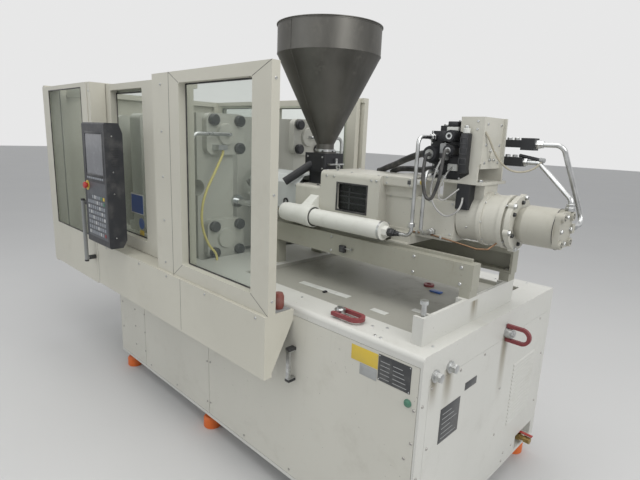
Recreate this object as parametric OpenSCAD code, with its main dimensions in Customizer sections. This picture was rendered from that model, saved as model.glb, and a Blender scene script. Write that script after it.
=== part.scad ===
// Injection moulding machine with a hydraulic clamp unit, a sliding injection carriage
// and a glazed guard. Millimetres, +Z up, +X towards the injection motor, -Y the operator's side.
// The origin lies on the floor under the middle of the machine's outer box.

/* [Base housing] */
// Length of the base housing
base_l = 2410; // [2350:10:2600]
// Width of the base housing
base_w = 1210; // [1150:10:1300]
// Height of the deck above the floor
deck_h = 944; // [920:2:980]
// Distance from the machine's middle to the injection end of the base
base_end = 1500; // [1480:5:1540]
// Radius of the deck's long edges
base_edge_r = 18; // [8:1:30]
// Thickness of the screwed side sheets
sheet_t = 3; // [2:0.5:5]
// Gap along the seams of the side sheets
seam_gap = 4; // [2:0.5:8]
// Height of the levelling feet
foot_h = 110; // [90:5:140]
// Diameter of a levelling foot
foot_d = 98; // [80:2:120]
// Depth of the recess in the deck that holds the drip tray
deck_recess = 24; // [15:1:40]
// Width of the deck's rim beside the drip tray
deck_rim = 150; // [120:5:180]
// Depth of the parts pit at its high side, below the deck
pit_depth = 240; // [150:10:300]

/* [End cover] */
// Number of louvres in the end cover
louvre_n = 17; // [8:1:20]
// Distance from one louvre to the next
louvre_pitch = 19; // [16:1:22]
// Length of a louvre
louvre_l = 250; // [150:10:300]
// How far a louvre stands out of the sheet
louvre_out = 5; // [3:0.5:8]

/* [Clamp unit] */
// Height of the machine axis above the deck
axis_rise = 396; // [388:2:410]
// Distance from the axis to a tie bar, sideways
tie_y = 320; // [300:5:330]
// Distance from the axis to a tie bar, upwards
tie_z = 297; // [280:1:305]
// Diameter of a tie bar
tie_d = 90; // [70:2:100]
// Width of the platens
platen_w = 960; // [920:10:980]
// Height of the fixed platen
platen_h = 844; // [830:2:860]
// Depth of the platen's seat below the deck
platen_drop = 41; // [30:1:60]
// Thickness of the fixed platen
fixed_t = 200; // [180:5:210]
// Thickness of the moving platen
moving_t = 150; // [120:5:160]
// Thickness of the clamp end plate
end_plate_t = 140; // [120:5:160]
// Opening between the platens when the clamp is fully open
daylight = 470; // [440:5:480]
// Diameter of the clamp ram
ram_d = 200; // [160:5:240]
// Depth of the clamp cylinder behind its plate
clamp_cyl_l = 330; // [300:5:340]
// Radial running fit of tie bars, ram and rods in their bores
run_fit = 0.05; // [0.02:0.01:0.1]
// Diameter of the nozzle hole in the fixed platen
nozzle_hole_d = 170; // [150:5:190]

/* [Guard] */
// Distance from the machine's middle to the guard's clamp end
guard_left = 1700; // [1690:5:1760]
// Distance from the machine's middle to the guard's injection end
guard_right = 860; // [840:5:900]
// Height of the guard's top edge above the deck
guard_rise = 968; // [940:2:1016]
// Distance from the axis to the guard's front plane
guard_front = 760; // [750:5:780]
// Distance from the axis to the guard's rear plane
guard_rear = 745; // [735:5:765]
// Depth of the guard's welded frames
frame_t = 40; // [30:1:45]
// Thickness of the window panes
pane_t = 5; // [4:0.5:8]
// Overlap of a pane behind its frame
pane_lap = 15; // [10:1:25]
// Depth of the apron below the guard's sill
apron_h = 275; // [250:5:290]
// Running gap round the guard doors
door_gap = 3; // [2:0.5:5]

/* [Injection unit] */
// Diameter of the plasticising barrel
barrel_d = 110; // [90:2:120]
// Diameter of the injection housing
housing_d = 200; // [190:2:210]
// Diameter of the screw motor
motor_d = 156; // [146:2:166]
// Distance from the machine's middle to the motor's rear face
motor_end = 1700; // [1690:5:1740]
// Distance from the axis to a carriage cylinder, sideways
cylinder_y = 215; // [210:1:225]
// Distance of the carriage cylinders below the machine axis
cylinder_drop = 91; // [86:1:96]
// Outer diameter of a carriage cylinder's cast nose
cylinder_d = 98; // [94:1:104]
// Outer diameter of a carriage cylinder's tube
tube_d = 84; // [80:1:90]
// Diameter of a carriage cylinder's rod
rod_d = 40; // [30:1:50]
// Diameter of the plasticising screw
screw_d = 50; // [40:1:60]

/* [Hopper] */
// Diameter of the hopper's rim
hopper_d = 540; // [480:10:560]
// Diameter of the hopper's neck
hopper_neck_d = 96; // [80:2:110]
// Height of the hopper's cylindrical part
hopper_rim_h = 145; // [100:5:160]
// Height of the hopper's cone
hopper_cone_h = 448; // [400:5:460]
// Thickness of the hopper's sheet
hopper_t = 3; // [2:0.5:5]

/* [Control console] */
// Width of the console
console_w = 315; // [290:5:330]
// Height of the console's screen part
console_screen_h = 323; // [290:1:330]
// Height of the console's keypad part
console_keys_h = 370; // [330:5:380]
// Depth of the console
console_t = 100; // [80:2:110]
// Travel of the stop button
stop_travel = 6; // [4:1:8]

/* [Hidden] */
$fn = 64;
eps = 0.01;
paint = "#e6e4dc";
paint_grey = "#b9b8ac";
steel = "#c9ccce";
black = "#232427";

// Levels that follow the deck
axis_h = deck_h + axis_rise;
guard_h = deck_h + guard_rise;
sill_h = deck_h - 14;
guard_low = sill_h - apron_h;

// Shift from the machine axis to the middle of the outer box
stop_out = 22;
stop_shaft = 24;
stop_shaft_d = 22;
console_front = 861;
shift_x = (guard_left - motor_end) / 2;
shift_y = (console_front + stop_out - guard_rear) / 2;

// Base housing
base_x0 = base_end - base_l;
base_y = base_w / 2;
panel_low = foot_h + 20;
panel_seam_a = -545;
panel_seam_b = 203;
panel_top = deck_h - 40;
pit_x = [-800, -310];
pit_y = 400;
chute_h = [deck_h - 584, deck_h - 304];
bed_x0 = -1600;
bed_y = [420, 510];
bed_depth = 84;
rail_h = 20;
tray_x = [320, base_end - 115];
tray_y = base_y - deck_rim;
tray_t = 2;
foot_x = [base_x0 + 60, 140, base_end - 70];
foot_y = base_y - 60;
crossbeam_x = [base_end - 100, base_end - 56];
crossbeam_y = [-535, 215];
crossbeam_h = 104;
cover_y = [-554, 570];
cover_z = [panel_low, deck_h - 119];
louvre_y = 325;
louvre_z = deck_h - 606;
vent_margin = 14;
drain_y = [354, 556];
drain_z = [panel_low, 206];
drain_axis = [base_end - 20, 430, 166];
lever_z = drain_axis[2] + 26;
spindle_d = 10;

// Clamp unit
fixed_x = -90;
fixed_back_x = fixed_x - fixed_t;
moving_x = fixed_back_x - daylight;
moving_back_x = moving_x - moving_t;
end_plate_x = moving_back_x - 240;
end_plate_back_x = end_plate_x - end_plate_t;
platen_z0 = deck_h - platen_drop;
platen_z1 = platen_z0 + platen_h;
ram_end_x = end_plate_back_x - clamp_cyl_l + 30;
head_w = 250;
head_t = 46;
cap_pitch = 100;
cap_pitch_z = 90;
cap_d = 62;
tie_end_x = end_plate_back_x - 110;
ejector_y = 150;
ejector_d = 24;

// Guard
fixed_guard_y = -guard_front + 15;
door_y = -guard_front + 100;
post_x = [-55, 107];
jamb_x = -216;
left_post_x = [-868, -828];
clamp_door_x1 = left_post_x[0] - 2;
clamp_door_t = 96;
clamp_door_z = [guard_low - 10, guard_h];
hinge_x = -guard_left + 16;
hinge_y = -guard_front + 20;
track_y = [door_y + frame_t + 8, door_y + frame_t + 30];
rear_door_y = guard_rear - 2 * frame_t - 10;
rear_x1 = post_x[1];
rear_split_x = -800;

// Injection unit
beam_y = [155, 215];
beam_z = [axis_h - 257, axis_h - 155];
beam_x = [190, base_end - 50];
rail_w = 20;
rail_y = 157;
slide_rail_h = 12;
shoe_gap = 0.3;
rail_top = beam_z[1] + slide_rail_h;
throat_x = [362, 548];
frame_x = [548, 925];
cover_x1 = 1090;
side_x1 = 1285;
carriage_y = 150;
carriage_top = axis_h + 142;
cover_low = carriage_top - 42;
rear_y = 92;
rear_z = [axis_h - 100, axis_h + 67];
shoe_x = [throat_x[1] + 10, cover_x1 - 80];
shoe_l = 100;
hopper_x = 425;
gate_z = axis_h + 160;
gate_t = 8;
neck_z = axis_h + 220;
hopper_z0 = neck_z;
hopper_z1 = hopper_z0 + 47;
hopper_z2 = hopper_z1 + hopper_cone_h;
hopper_z3 = hopper_z2 + hopper_rim_h;
cyl_z = axis_h - cylinder_drop;
nose_x = 344;
flange_x = [540, 575];
body_x1 = 1014;
piston_x = [950, 975];
piston_d = tube_d - 14;
motor_x0 = side_x1 + 235;
cover_t = 30;
port_h = 36;

// Control console
console_x = -700;
console_y0 = -console_front;
console_low = deck_h + 36;
keys_top = console_low + console_keys_h;
console_top = keys_top + console_screen_h;

module at_axis() {
    translate([shift_x, shift_y, 0]) children();
}

// A box between two opposite corners
module block(lo, hi) {
    translate(lo) cube(hi - lo);
}

// A flat outline in Y and Z, drawn out along X
module prism_x(x0, x1) {
    translate([x0, 0, 0]) rotate([90, 0, 90]) linear_extrude(x1 - x0) children();
}

// A flat outline in X and Z, drawn out along Y
module prism_y(y0, y1) {
    translate([0, y1, 0]) rotate([90, 0, 0]) linear_extrude(y1 - y0) children();
}

// A flat outline in X and Y, drawn out along Z
module prism_z(z0, z1) {
    translate([0, 0, z0]) linear_extrude(z1 - z0) children();
}

module bar_x(x0, x1, y, z, d) {
    translate([x0, y, z]) rotate([0, 90, 0]) cylinder(h = x1 - x0, d = d);
}

module bar_y(y0, y1, x, z, d) {
    translate([x, y0, z]) rotate([-90, 0, 0]) cylinder(h = y1 - y0, d = d);
}

module bar_z(z0, z1, x, y, d) {
    translate([x, y, z0]) cylinder(h = z1 - z0, d = d);
}

// A rectangle between two corners with round corners of radius r
module round_rect(lo, hi, r) {
    translate([lo[0] + r, lo[1]]) square([hi[0] - lo[0] - 2 * r, hi[1] - lo[1]]);
    translate([lo[0], lo[1] + r]) square([hi[0] - lo[0], hi[1] - lo[1] - 2 * r]);
    for (x = [lo[0] + r, hi[0] - r], y = [lo[1] + r, hi[1] - r])
        translate([x, y]) circle(r);
}

// A turned part along X from an outline of [radius, distance] points
module turned_x(x, y, z, outline) {
    translate([x, y, z]) rotate([0, 90, 0]) rotate_extrude() polygon(outline);
}

// A welded frame in the X and Z plane with a round-cornered window
module window_frame(x, z, win_x, win_z, y0, y1, r = 12) {
    prism_y(y0, y1) difference() {
        translate([x[0], z[0]]) square([x[1] - x[0], z[1] - z[0]]);
        round_rect([win_x[0], win_z[0]], [win_x[1], win_z[1]], r);
    }
}

// A pane that laps behind its window on all sides
module window_pane(win_x, win_z, y0, y1) {
    block([win_x[0] - pane_lap, y0, win_z[0] - pane_lap], [win_x[1] + pane_lap, y1, win_z[1] + pane_lap]);
}

// Frame of axes with its third axis along d
function unit(v) = v / norm(v);
function side_of(d) = unit(cross(abs(d[2]) < 0.9 ? [0, 0, 1] : [1, 0, 0], d));
function frame_of(d, p) = let (a = unit(d), u = side_of(a), v = cross(a, u))
    [[u[0], v[0], a[0], p[0]], [u[1], v[1], a[1], p[1]], [u[2], v[2], a[2], p[2]], [0, 0, 0, 1]];

// A bent pipe along straight runs, with a true arc of radius r at every corner
module bent_pipe(points, d, r) {
    n = len(points);
    turn = [for (i = [0:n - 1]) i == 0 || i == n - 1 ? 0 :
        acos(unit(points[i] - points[i - 1]) * unit(points[i + 1] - points[i]))];
    for (i = [0:n - 2]) {
        a = unit(points[i + 1] - points[i]);
        cut0 = r * tan(turn[i] / 2);
        cut1 = r * tan(turn[i + 1] / 2);
        multmatrix(frame_of(a, points[i] + a * cut0))
            cylinder(h = norm(points[i + 1] - points[i]) - cut0 - cut1, d = d, $fn = 32);
    }
    for (i = [1:1:n - 2]) {
        a = unit(points[i] - points[i - 1]);
        b = unit(points[i + 1] - points[i]);
        middle = points[i] + unit(b - a) * r / cos(turn[i] / 2);
        x = unit(points[i] - a * r * tan(turn[i] / 2) - middle);
        z = cross(x, a);
        multmatrix([[x[0], a[0], z[0], middle[0]], [x[1], a[1], z[1], middle[1]],
            [x[2], a[2], z[2], middle[2]], [0, 0, 0, 1]])
            rotate_extrude(angle = turn[i], $fn = 48) translate([r, 0]) circle(d = d, $fn = 32);
    }
}

// Centre line of a rigid pipe: straight runs with an arc of radius r at every corner
function corner_arc(a, b, c, r, n) = let (u = unit(a - b), v = unit(c - b), half = acos(u * v) / 2, turn = 180 - 2 * half,
    middle = b + unit(u + v) * r / sin(half), s = b + u * r / tan(half) - middle, e = b + v * r / tan(half) - middle)
    [for (k = [0:n]) middle + (sin(turn * (1 - k / n)) * s + sin(turn * k / n) * e) / sin(turn)];
function pipe_line(p, r, n) = concat([p[0]],
    [for (i = [1:len(p) - 2]) each corner_arc(p[i - 1], p[i], p[i + 1], r, n)], [p[len(p) - 1]]);

// A smooth curve through the points of a soft hose
function spline(p0, p1, p2, p3, t) = 0.5 * (2 * p1 + (p2 - p0) * t
    + (2 * p0 - 5 * p1 + 4 * p2 - p3) * t * t + (3 * p1 - p0 - 3 * p2 + p3) * t * t * t);
function smooth_path(p, n) = let (m = len(p)) concat([for (i = [0:m - 2]) for (k = [0:n - 1])
    spline(i == 0 ? 2 * p[0] - p[1] : p[i - 1], p[i], p[i + 1], i == m - 2 ? 2 * p[m - 1] - p[m - 2] : p[i + 2], k / n)],
    [p[m - 1]]);

// A round tube swept along a list of points as one closed body
module tube_along(path, d, sides) {
    n = len(path);
    tangent = [for (i = [0:n - 1]) unit(path[min(i + 1, n - 1)] - path[max(i - 1, 0)])];
    up = hose_side(tangent, n - 1);
    rings = [for (i = [0:n - 1]) for (k = [0:sides - 1]) let (a = 360 * k / sides)
        path[i] + d / 2 * (cos(a) * up[i] + sin(a) * cross(tangent[i], up[i]))];
    polyhedron(rings, concat([[for (k = [0:sides - 1]) k]],
        [for (i = [0:n - 2]) for (k = [0:sides - 1])
            [i * sides + k, (i + 1) * sides + k, (i + 1) * sides + (k + 1) % sides, i * sides + (k + 1) % sides]],
        [[for (k = [sides - 1:-1:0]) (n - 1) * sides + k]]));
}
function hose_side(t, i) = i == 0 ? [side_of(t[0])] :
    let (before = hose_side(t, i - 1), s = before[i - 1]) concat(before, [unit(s - t[i] * (s * t[i]))]);

module base_outline() {
    translate([-base_y, foot_h]) square([base_w, deck_h - foot_h - base_edge_r]);
    translate([-base_y + base_edge_r, foot_h]) square([base_w - 2 * base_edge_r, deck_h - foot_h]);
    for (s = [-1, 1])
        translate([s * (base_y - base_edge_r), deck_h - base_edge_r]) circle(base_edge_r);
}

module base_frame() {
    color(paint) at_axis() {
        difference() {
            prism_x(base_x0, base_end) base_outline();
            // parts pit with a floor that slopes to the exit in the rear wall
            prism_x(pit_x[0], pit_x[1])
                polygon([[-pit_y, deck_h - pit_depth], [-pit_y, deck_h + 1], [pit_y, deck_h + 1],
                    [pit_y, chute_h[1]], [base_y + 1, chute_h[1]], [base_y + 1, chute_h[0]], [pit_y, chute_h[0]]]);
            // seat of the fixed platen
            block([fixed_back_x - 4, -platen_w / 2 - 30, platen_z0], [fixed_x + head_t + 36, platen_w / 2 + 30, deck_h + 1]);
            block([tray_x[0], -tray_y, deck_h - deck_recess], [tray_x[1], tray_y, deck_h + 1]);
            for (x = panel_spans())
                block([x[0] - seam_gap / 2, -base_y - 1, panel_low - seam_gap / 2],
                    [x[1] + seam_gap / 2, -base_y + sheet_t, panel_top + seam_gap / 2]);
            block([base_end - sheet_t, cover_y[0] - 1, cover_z[0] - 1], [base_end + 1, cover_y[1] + 1, cover_z[1] + 1]);
            // air duct behind the louvres and the drain recess
            block([base_end - 180, louvre_y - louvre_l / 2 - vent_margin, louvre_z - vent_margin],
                [base_end, louvre_y + louvre_l / 2 + vent_margin, louvre_z + louvre_n * louvre_pitch + vent_margin]);
            block([base_end - 60, drain_y[0], drain_z[0]], [base_end, drain_y[1], drain_z[1]]);
        }
    }
}

// Brackets and rails that carry the clamp unit beyond the base
module bed_beams() {
    color(paint) at_axis()
        for (s = [0, 1])
            mirror([0, s, 0]) {
                prism_y(bed_y[0], bed_y[1])
                    polygon([[base_x0, deck_h], [bed_x0, deck_h], [bed_x0, deck_h - bed_depth],
                        [base_x0 - 160, deck_h - 2 * bed_depth], [base_x0, deck_h - 4 * bed_depth]]);
                block([bed_x0, bed_y[0] + 20, deck_h], [fixed_back_x - 5, bed_y[1] - 20, deck_h + rail_h]);
            }
}

function panel_spans() = [[base_x0 + 5, panel_seam_a - seam_gap / 2], [panel_seam_a + seam_gap / 2,
    panel_seam_b - seam_gap / 2], [panel_seam_b + seam_gap / 2, base_end - 12]];

module levelling_feet() {
    color("#e0561c") at_axis()
        for (x = foot_x, y = [-foot_y, foot_y])
            translate([x, y, 0]) {
                rotate_extrude()
                    polygon([[0, 0], [foot_d / 2 - 3, 0], [foot_d / 2, 4], [foot_d / 2, foot_h - 56],
                        [foot_d / 2 - 8, foot_h - 44], [20, foot_h - 40], [0, foot_h - 40]]);
                cylinder(h = foot_h, d = 24);
                translate([0, 0, foot_h - 18]) cylinder(h = 18, d = 42, $fn = 6);
            }
}

module front_panels() {
    color(paint) at_axis()
        for (x = panel_spans())
            block([x[0], -base_y, panel_low], [x[1], -base_y + sheet_t, panel_top]);
}

// One pressed louvre: a hood that is open along its lower edge
module louvre_hood() {
    difference() {
        prism_y(-louvre_l / 2, louvre_l / 2)
            polygon([[-sheet_t, 0], [louvre_out, 0], [louvre_out - 1, louvre_pitch * 0.25], [0, louvre_pitch * 0.62],
                [-sheet_t, louvre_pitch * 0.62]]);
        prism_y(-louvre_l / 2 + 2, louvre_l / 2 - 2)
            polygon([[-sheet_t - 1, -1], [louvre_out - 1.5, -1], [louvre_out - 2.5, louvre_pitch * 0.22],
                [-1.5, louvre_pitch * 0.5], [-sheet_t - 1, louvre_pitch * 0.5]]);
    }
}

module end_cover() {
    color(paint) at_axis() {
        difference() {
            block([base_end - sheet_t, cover_y[0], cover_z[0]], [base_end, cover_y[1], cover_z[1]]);
            for (i = [0:louvre_n - 1])
                block([base_end - sheet_t - 1, louvre_y - louvre_l / 2, louvre_z + i * louvre_pitch],
                    [base_end + 1, louvre_y + louvre_l / 2, louvre_z + (i + 0.6) * louvre_pitch]);
            block([base_end - sheet_t - 1, drain_y[0], drain_z[0] - 1], [base_end + 1, drain_y[1], drain_z[1]]);
        }
        for (i = [0:louvre_n - 1])
            translate([base_end, louvre_y, louvre_z + i * louvre_pitch]) louvre_hood();
    }
}

// Plated side handle, hexagon plugs, ring hubs and the crossbeam's set bolt
handle_x = 872;
handle_z = [deck_h - 331, deck_h - 178];
handle_out = 38;
handle_w = 18;
handle_end = 16;
plug_y = [-526, -424];
plug_z = deck_h - 89;
ring_hub_d = 46;
ring_hub_h = 30;
ring_pin_d = 14;
ring_hub_front = [1060, -535, deck_h];
ring_hub_end = [base_end, 57, deck_h - 91];
ring_stock = 15;
ring_reach_front = 120;
ring_reach_end = 90;
ring_axis = 17;
set_bolt = [base_end - 78, -505];
// Round hub with the cross bore of its lifting ring, standing on +Z
module ring_hub() {
    difference() {
        union() {
            cylinder(h = ring_hub_h, d = ring_hub_d);
            translate([0, 0, ring_hub_h - eps]) cylinder(h = 8, d = 30, $fn = 6);
        }
        bar_y(-ring_hub_d, ring_hub_d, 0, ring_axis, ring_pin_d + 2 * run_fit);
    }
}

module plated_fittings() {
    color(steel) at_axis() {
        // bar handle of the lift-off side sheet
        block([handle_x - handle_w / 2, -base_y - handle_out, handle_z[0]],
            [handle_x + handle_w / 2, -base_y - handle_out + 12, handle_z[1]]);
        for (z = [handle_z[0], handle_z[1] - handle_end])
            block([handle_x - handle_w / 2 - 3, -base_y - handle_out - 1, z],
                [handle_x + handle_w / 2 + 3, -base_y, z + handle_end]);
        for (y = plug_y) {
            bar_x(base_end, base_end + 8, y, plug_z, 46);
            translate([base_end + 8, y, plug_z]) rotate([0, 90, 0]) cylinder(h = 22, d = 36, $fn = 6);
        }
        translate(ring_hub_front) ring_hub();
        translate(ring_hub_end) rotate([90, 0, 90]) ring_hub();
        bar_z(deck_h + 12, deck_h + crossbeam_h + 42, set_bolt[0], set_bolt[1], 20);
        translate([set_bolt[0], set_bolt[1], deck_h + crossbeam_h + 42]) cylinder(h = 14, d = 34, $fn = 6);
    }
}

// Forged lifting rings that swing on their hubs' cross bores
module swing_ring(reach) {
    inner = ring_hub_d / 2 + 1;
    outer = inner + ring_stock;
    prism_z(-ring_stock / 2, ring_stock / 2) difference() {
        union() {
            translate([-ring_stock, -outer]) square([reach - outer + ring_stock, 2 * outer]);
            translate([reach - outer, 0]) circle(outer);
        }
        translate([-ring_stock - 1, -inner]) square([reach - outer + ring_stock + 1, 2 * inner]);
        translate([reach - outer, 0]) circle(inner);
    }
    for (s = [0, 1])
        mirror([0, s, 0]) bar_y(-outer + 2, -8, 0, 0, ring_pin_d);
}

module lifting_ring_front() {
    color("#8e2f33") at_axis()
        translate(ring_hub_front + [0, 0, ring_axis]) swing_ring(ring_reach_front);
}

module lifting_ring_end() {
    color("#8e2f33") at_axis()
        translate(ring_hub_end + [ring_axis, 0, 0]) rotate([90, 0, 0]) swing_ring(ring_reach_end);
}

// Oil drain in its recess: pipe, valve body and the quarter-turn lever
module drain_pipe() {
    color("#b08d3c") at_axis() {
        bar_x(base_end - 60, drain_axis[0] + 60, drain_axis[1], drain_axis[2], 26);
        bar_x(drain_axis[0] - 22, drain_axis[0] + 22, drain_axis[1], drain_axis[2], 40);
        translate([drain_axis[0] + 40, drain_axis[1], drain_axis[2]]) rotate([0, 90, 0]) cylinder(h = 30, d = 38, $fn = 6);
        bar_z(drain_axis[2], lever_z, drain_axis[0], drain_axis[1], 18);
        bar_z(lever_z - 1, lever_z + 9, drain_axis[0], drain_axis[1], spindle_d);
    }
}

module drain_lever() {
    color("#a32020") at_axis()
        difference() {
            union() {
                bar_z(lever_z + 0.3, lever_z + 5, drain_axis[0], drain_axis[1], 26);
                block([drain_axis[0], drain_axis[1] - 8, lever_z + 0.3], [drain_axis[0] + 78, drain_axis[1] + 8, lever_z + 5]);
            }
            bar_z(lever_z - 1, lever_z + 6, drain_axis[0], drain_axis[1], spindle_d + 2 * run_fit);
        }
}

module drip_tray() {
    color(paint_grey) at_axis()
        difference() {
            block([tray_x[0] + 1, -tray_y + 1, deck_h - deck_recess], [tray_x[1] - 1, tray_y - 1, deck_h - 4]);
            block([tray_x[0] + 1 + tray_t, -tray_y + 1 + tray_t, deck_h - deck_recess + tray_t],
                [tray_x[1] - 1 - tray_t, tray_y - 1 - tray_t, deck_h]);
        }
}

// Upright channel across the deck, notched for its set bolt
module end_crossbeam() {
    color(paint) at_axis()
        difference() {
            block([crossbeam_x[0], crossbeam_y[0], deck_h], [crossbeam_x[1], crossbeam_y[1], deck_h + crossbeam_h]);
            block([crossbeam_x[0] - 1, crossbeam_y[0] + 60, deck_h + 12],
                [crossbeam_x[1] - 14, -beam_y[1] - 20, deck_h + crossbeam_h + 1]);
            block([crossbeam_x[0] - 1, -beam_y[1] + 80, deck_h + 12],
                [crossbeam_x[1] - 14, beam_y[1] - 80, deck_h + crossbeam_h + 1]);
            block([crossbeam_x[0] - 1, crossbeam_y[0] + 14, deck_h + 12],
                [crossbeam_x[1] - 12, crossbeam_y[0] + 50, deck_h + crossbeam_h + 1]);
        }
}

module slide_beams() {
    color(paint_grey) at_axis()
        for (s = [0, 1])
            mirror([0, s, 0]) {
                difference() {
                    block([beam_x[0], beam_y[0], beam_z[0]], [beam_x[1], beam_y[1], beam_z[1]]);
                    block([beam_x[0] - 1, beam_y[0] - 1, beam_z[0] + 12], [beam_x[1] - 10, beam_y[1] - 12, beam_z[1] - 12]);
                }
                block([beam_x[0] + 10, beam_y[0] - 8, deck_h], [beam_x[0] + 100, beam_y[1] - 12, beam_z[0]]);
                block([crossbeam_x[0], beam_y[0] - 5, deck_h + crossbeam_h], [crossbeam_x[1], beam_y[1], beam_z[0]]);
                block([beam_x[0] + 40, rail_y, beam_z[1] - eps], [beam_x[1] - 30, rail_y + rail_w, rail_top]);
            }
}

// Fixed members of the guard: posts, top track and the end panel
module guard_frame() {
    color(paint) at_axis() {
        // deep post beside the fixed guard and its jamb
        block([post_x[0], fixed_guard_y, sill_h], [post_x[1] - 0.5, track_y[0], guard_h]);
        block([jamb_x + 6, door_y + 6, sill_h], [post_x[0] + eps, track_y[0], guard_h]);
        // post beside the clamp door, with a cap over the sliding door
        block([left_post_x[0], -guard_front + 4, sill_h], [left_post_x[1], door_y - door_gap, guard_h]);
        block([left_post_x[0], -guard_front + 4, guard_h - 6], [left_post_x[1], track_y[1], guard_h]);
        // track that the sliding door hangs on
        block([-guard_left + frame_t, track_y[0], guard_h - 60], [post_x[1] - 0.5, track_y[1], guard_h]);
        // end panel with stiffening folds
        difference() {
            block([-guard_left, -guard_front + clamp_door_t + 8, clamp_door_z[0]], [-guard_left + frame_t, guard_rear - frame_t, guard_h]);
            block([-guard_left + 2, -guard_front + clamp_door_t + 48, clamp_door_z[0] + 40],
                [-guard_left + frame_t + 1, guard_rear - frame_t - 40, guard_h - 40]);
        }
        // brackets to the bed beams
        for (s = [0, 1])
            mirror([0, s, 0])
                block([-guard_left + 2 - eps, bed_y[0], deck_h - bed_depth + 4], [bed_x0, bed_y[1], deck_h - 6]);
        // pivots of the clamp door
        for (z = [[clamp_door_z[0] - 12, clamp_door_z[0] - 1], [clamp_door_z[1] + 1, clamp_door_z[1] + 12]])
            block([-guard_left + 2, -guard_front + 4, z[0]], [-guard_left + frame_t, -guard_front + clamp_door_t + 30, z[1]]);
        bar_z(clamp_door_z[0] - 2, clamp_door_z[0] + 24, hinge_x, hinge_y, 14);
        bar_z(clamp_door_z[1] - 24, clamp_door_z[1] + 2, hinge_x, hinge_y, 14);
        for (z = [clamp_door_z[0] - 12, clamp_door_z[1] - 6])
            block([-guard_left + 2, -guard_front + clamp_door_t + 8, z], [-guard_left + frame_t, -guard_front + clamp_door_t + 30, z + 18]);
    }
}

// Folded sheet below the windows, with brackets to the base
module apron() {
    color(paint) at_axis() {
        difference() {
            block([left_post_x[0], -guard_front, guard_low], [guard_right, -guard_front + 41, sill_h]);
            block([left_post_x[0] - 1, -guard_front + sheet_t, guard_low + sheet_t],
                [guard_right - sheet_t, -guard_front + 42, sill_h - sheet_t]);
        }
        block([left_post_x[0], -guard_front + 40, sill_h - sheet_t], [guard_right, -base_y, sill_h]);
        for (x = [left_post_x[0] + 60, panel_seam_b, guard_right - 8])
            prism_x(x, x + 8) polygon([[-guard_front + sheet_t, guard_low + 20], [-guard_front + 41, guard_low + 20],
                [-base_y, panel_top - 20], [-base_y, sill_h - 1], [-guard_front + sheet_t, sill_h - 1]]);
    }
}

fixed_win_x = [197, 745];
fixed_win_z = [deck_h + 56, guard_h - 51];
module fixed_guard() {
    color(paint) at_axis() {
        window_frame([post_x[1], guard_right], [sill_h, guard_h], fixed_win_x, fixed_win_z,
            fixed_guard_y, fixed_guard_y + frame_t);
    }
}

rear_win_x = [-1580, -880];
rear_win_z = [deck_h + 16, guard_h - 51];
module guard_panes() {
    color("#b8ccca", 0.35) at_axis() {
        window_pane(fixed_win_x, fixed_win_z, fixed_guard_y + frame_t, fixed_guard_y + frame_t + pane_t);
        window_pane(rear_win_x, rear_win_z, guard_rear - frame_t - pane_t, guard_rear - frame_t);
    }
}

module rear_guard() {
    color(paint) at_axis() {
        window_frame([-guard_left, rear_split_x], [clamp_door_z[0], guard_h], rear_win_x, rear_win_z,
            guard_rear - frame_t, guard_rear);
        // header and sill that the rear door runs between
        block([rear_split_x - eps, guard_rear - frame_t, guard_h - 50], [rear_x1, guard_rear, guard_h]);
        block([rear_split_x - eps, guard_rear - frame_t, guard_low], [rear_x1, guard_rear, sill_h]);
        block([rear_x1 - 60, guard_rear - frame_t, sill_h - eps], [rear_x1, guard_rear, guard_h]);
        // track behind the header
        block([-guard_left + frame_t + 20, rear_door_y + frame_t + 0.3, guard_h - 30], [rear_x1, guard_rear - frame_t + eps, guard_h]);
        for (x = [base_x0 + 60, rear_x1 - 80])
            block([x, base_y, guard_low + 40], [x + 60, guard_rear - frame_t + eps, guard_low + 120]);
    }
}

door_x = [left_post_x[1] - 32, jamb_x];
door_win_x = [-762, -346];
door_win_z = [deck_h + 61, guard_h - 44];
door_z = [sill_h + door_gap, guard_h - 9];
module operator_door() {
    color(paint) at_axis() {
        window_frame(door_x, door_z, door_win_x, door_win_z, door_y, door_y + frame_t);
        // hangers that run on the track
        for (x = [door_x[0] + 60, door_x[1] - 120])
            block([x, door_y + frame_t - eps, guard_h - 38], [x + 60, track_y[0] - 0.3, guard_h - 20]);
    }
}

module operator_door_pane() {
    color("#b8ccca", 0.35) at_axis()
        window_pane(door_win_x, [door_win_z[0], door_win_z[1] - 12], door_y + frame_t, door_y + frame_t + pane_t);
}

clamp_win_x = [-1570, -960];
clamp_win_z = [deck_h + 6, guard_h - 26];
module clamp_door() {
    color(paint) at_axis()
        difference() {
            block([-guard_left, -guard_front, clamp_door_z[0]], [clamp_door_x1, -guard_front + clamp_door_t, clamp_door_z[1]]);
            block([-guard_left + frame_t, -guard_front + sheet_t, clamp_door_z[0] + frame_t],
                [clamp_door_x1 - sheet_t, -guard_front + clamp_door_t + 1, clamp_door_z[1] - sheet_t]);
            prism_y(-guard_front - 1, -guard_front + sheet_t + 1)
                round_rect([clamp_win_x[0], clamp_win_z[0]], [clamp_win_x[1], clamp_win_z[1]], 12);
            bar_z(clamp_door_z[0] - 1, clamp_door_z[0] + 30, hinge_x, hinge_y, 14 + 2 * run_fit);
            bar_z(clamp_door_z[1] - 30, clamp_door_z[1] + 1, hinge_x, hinge_y, 14 + 2 * run_fit);
        }
}

module clamp_door_pane() {
    color("#b8ccca", 0.35) at_axis()
        window_pane(clamp_win_x, [clamp_win_z[0], clamp_win_z[1] + 5], -guard_front + sheet_t, -guard_front + sheet_t + pane_t);
}

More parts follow.
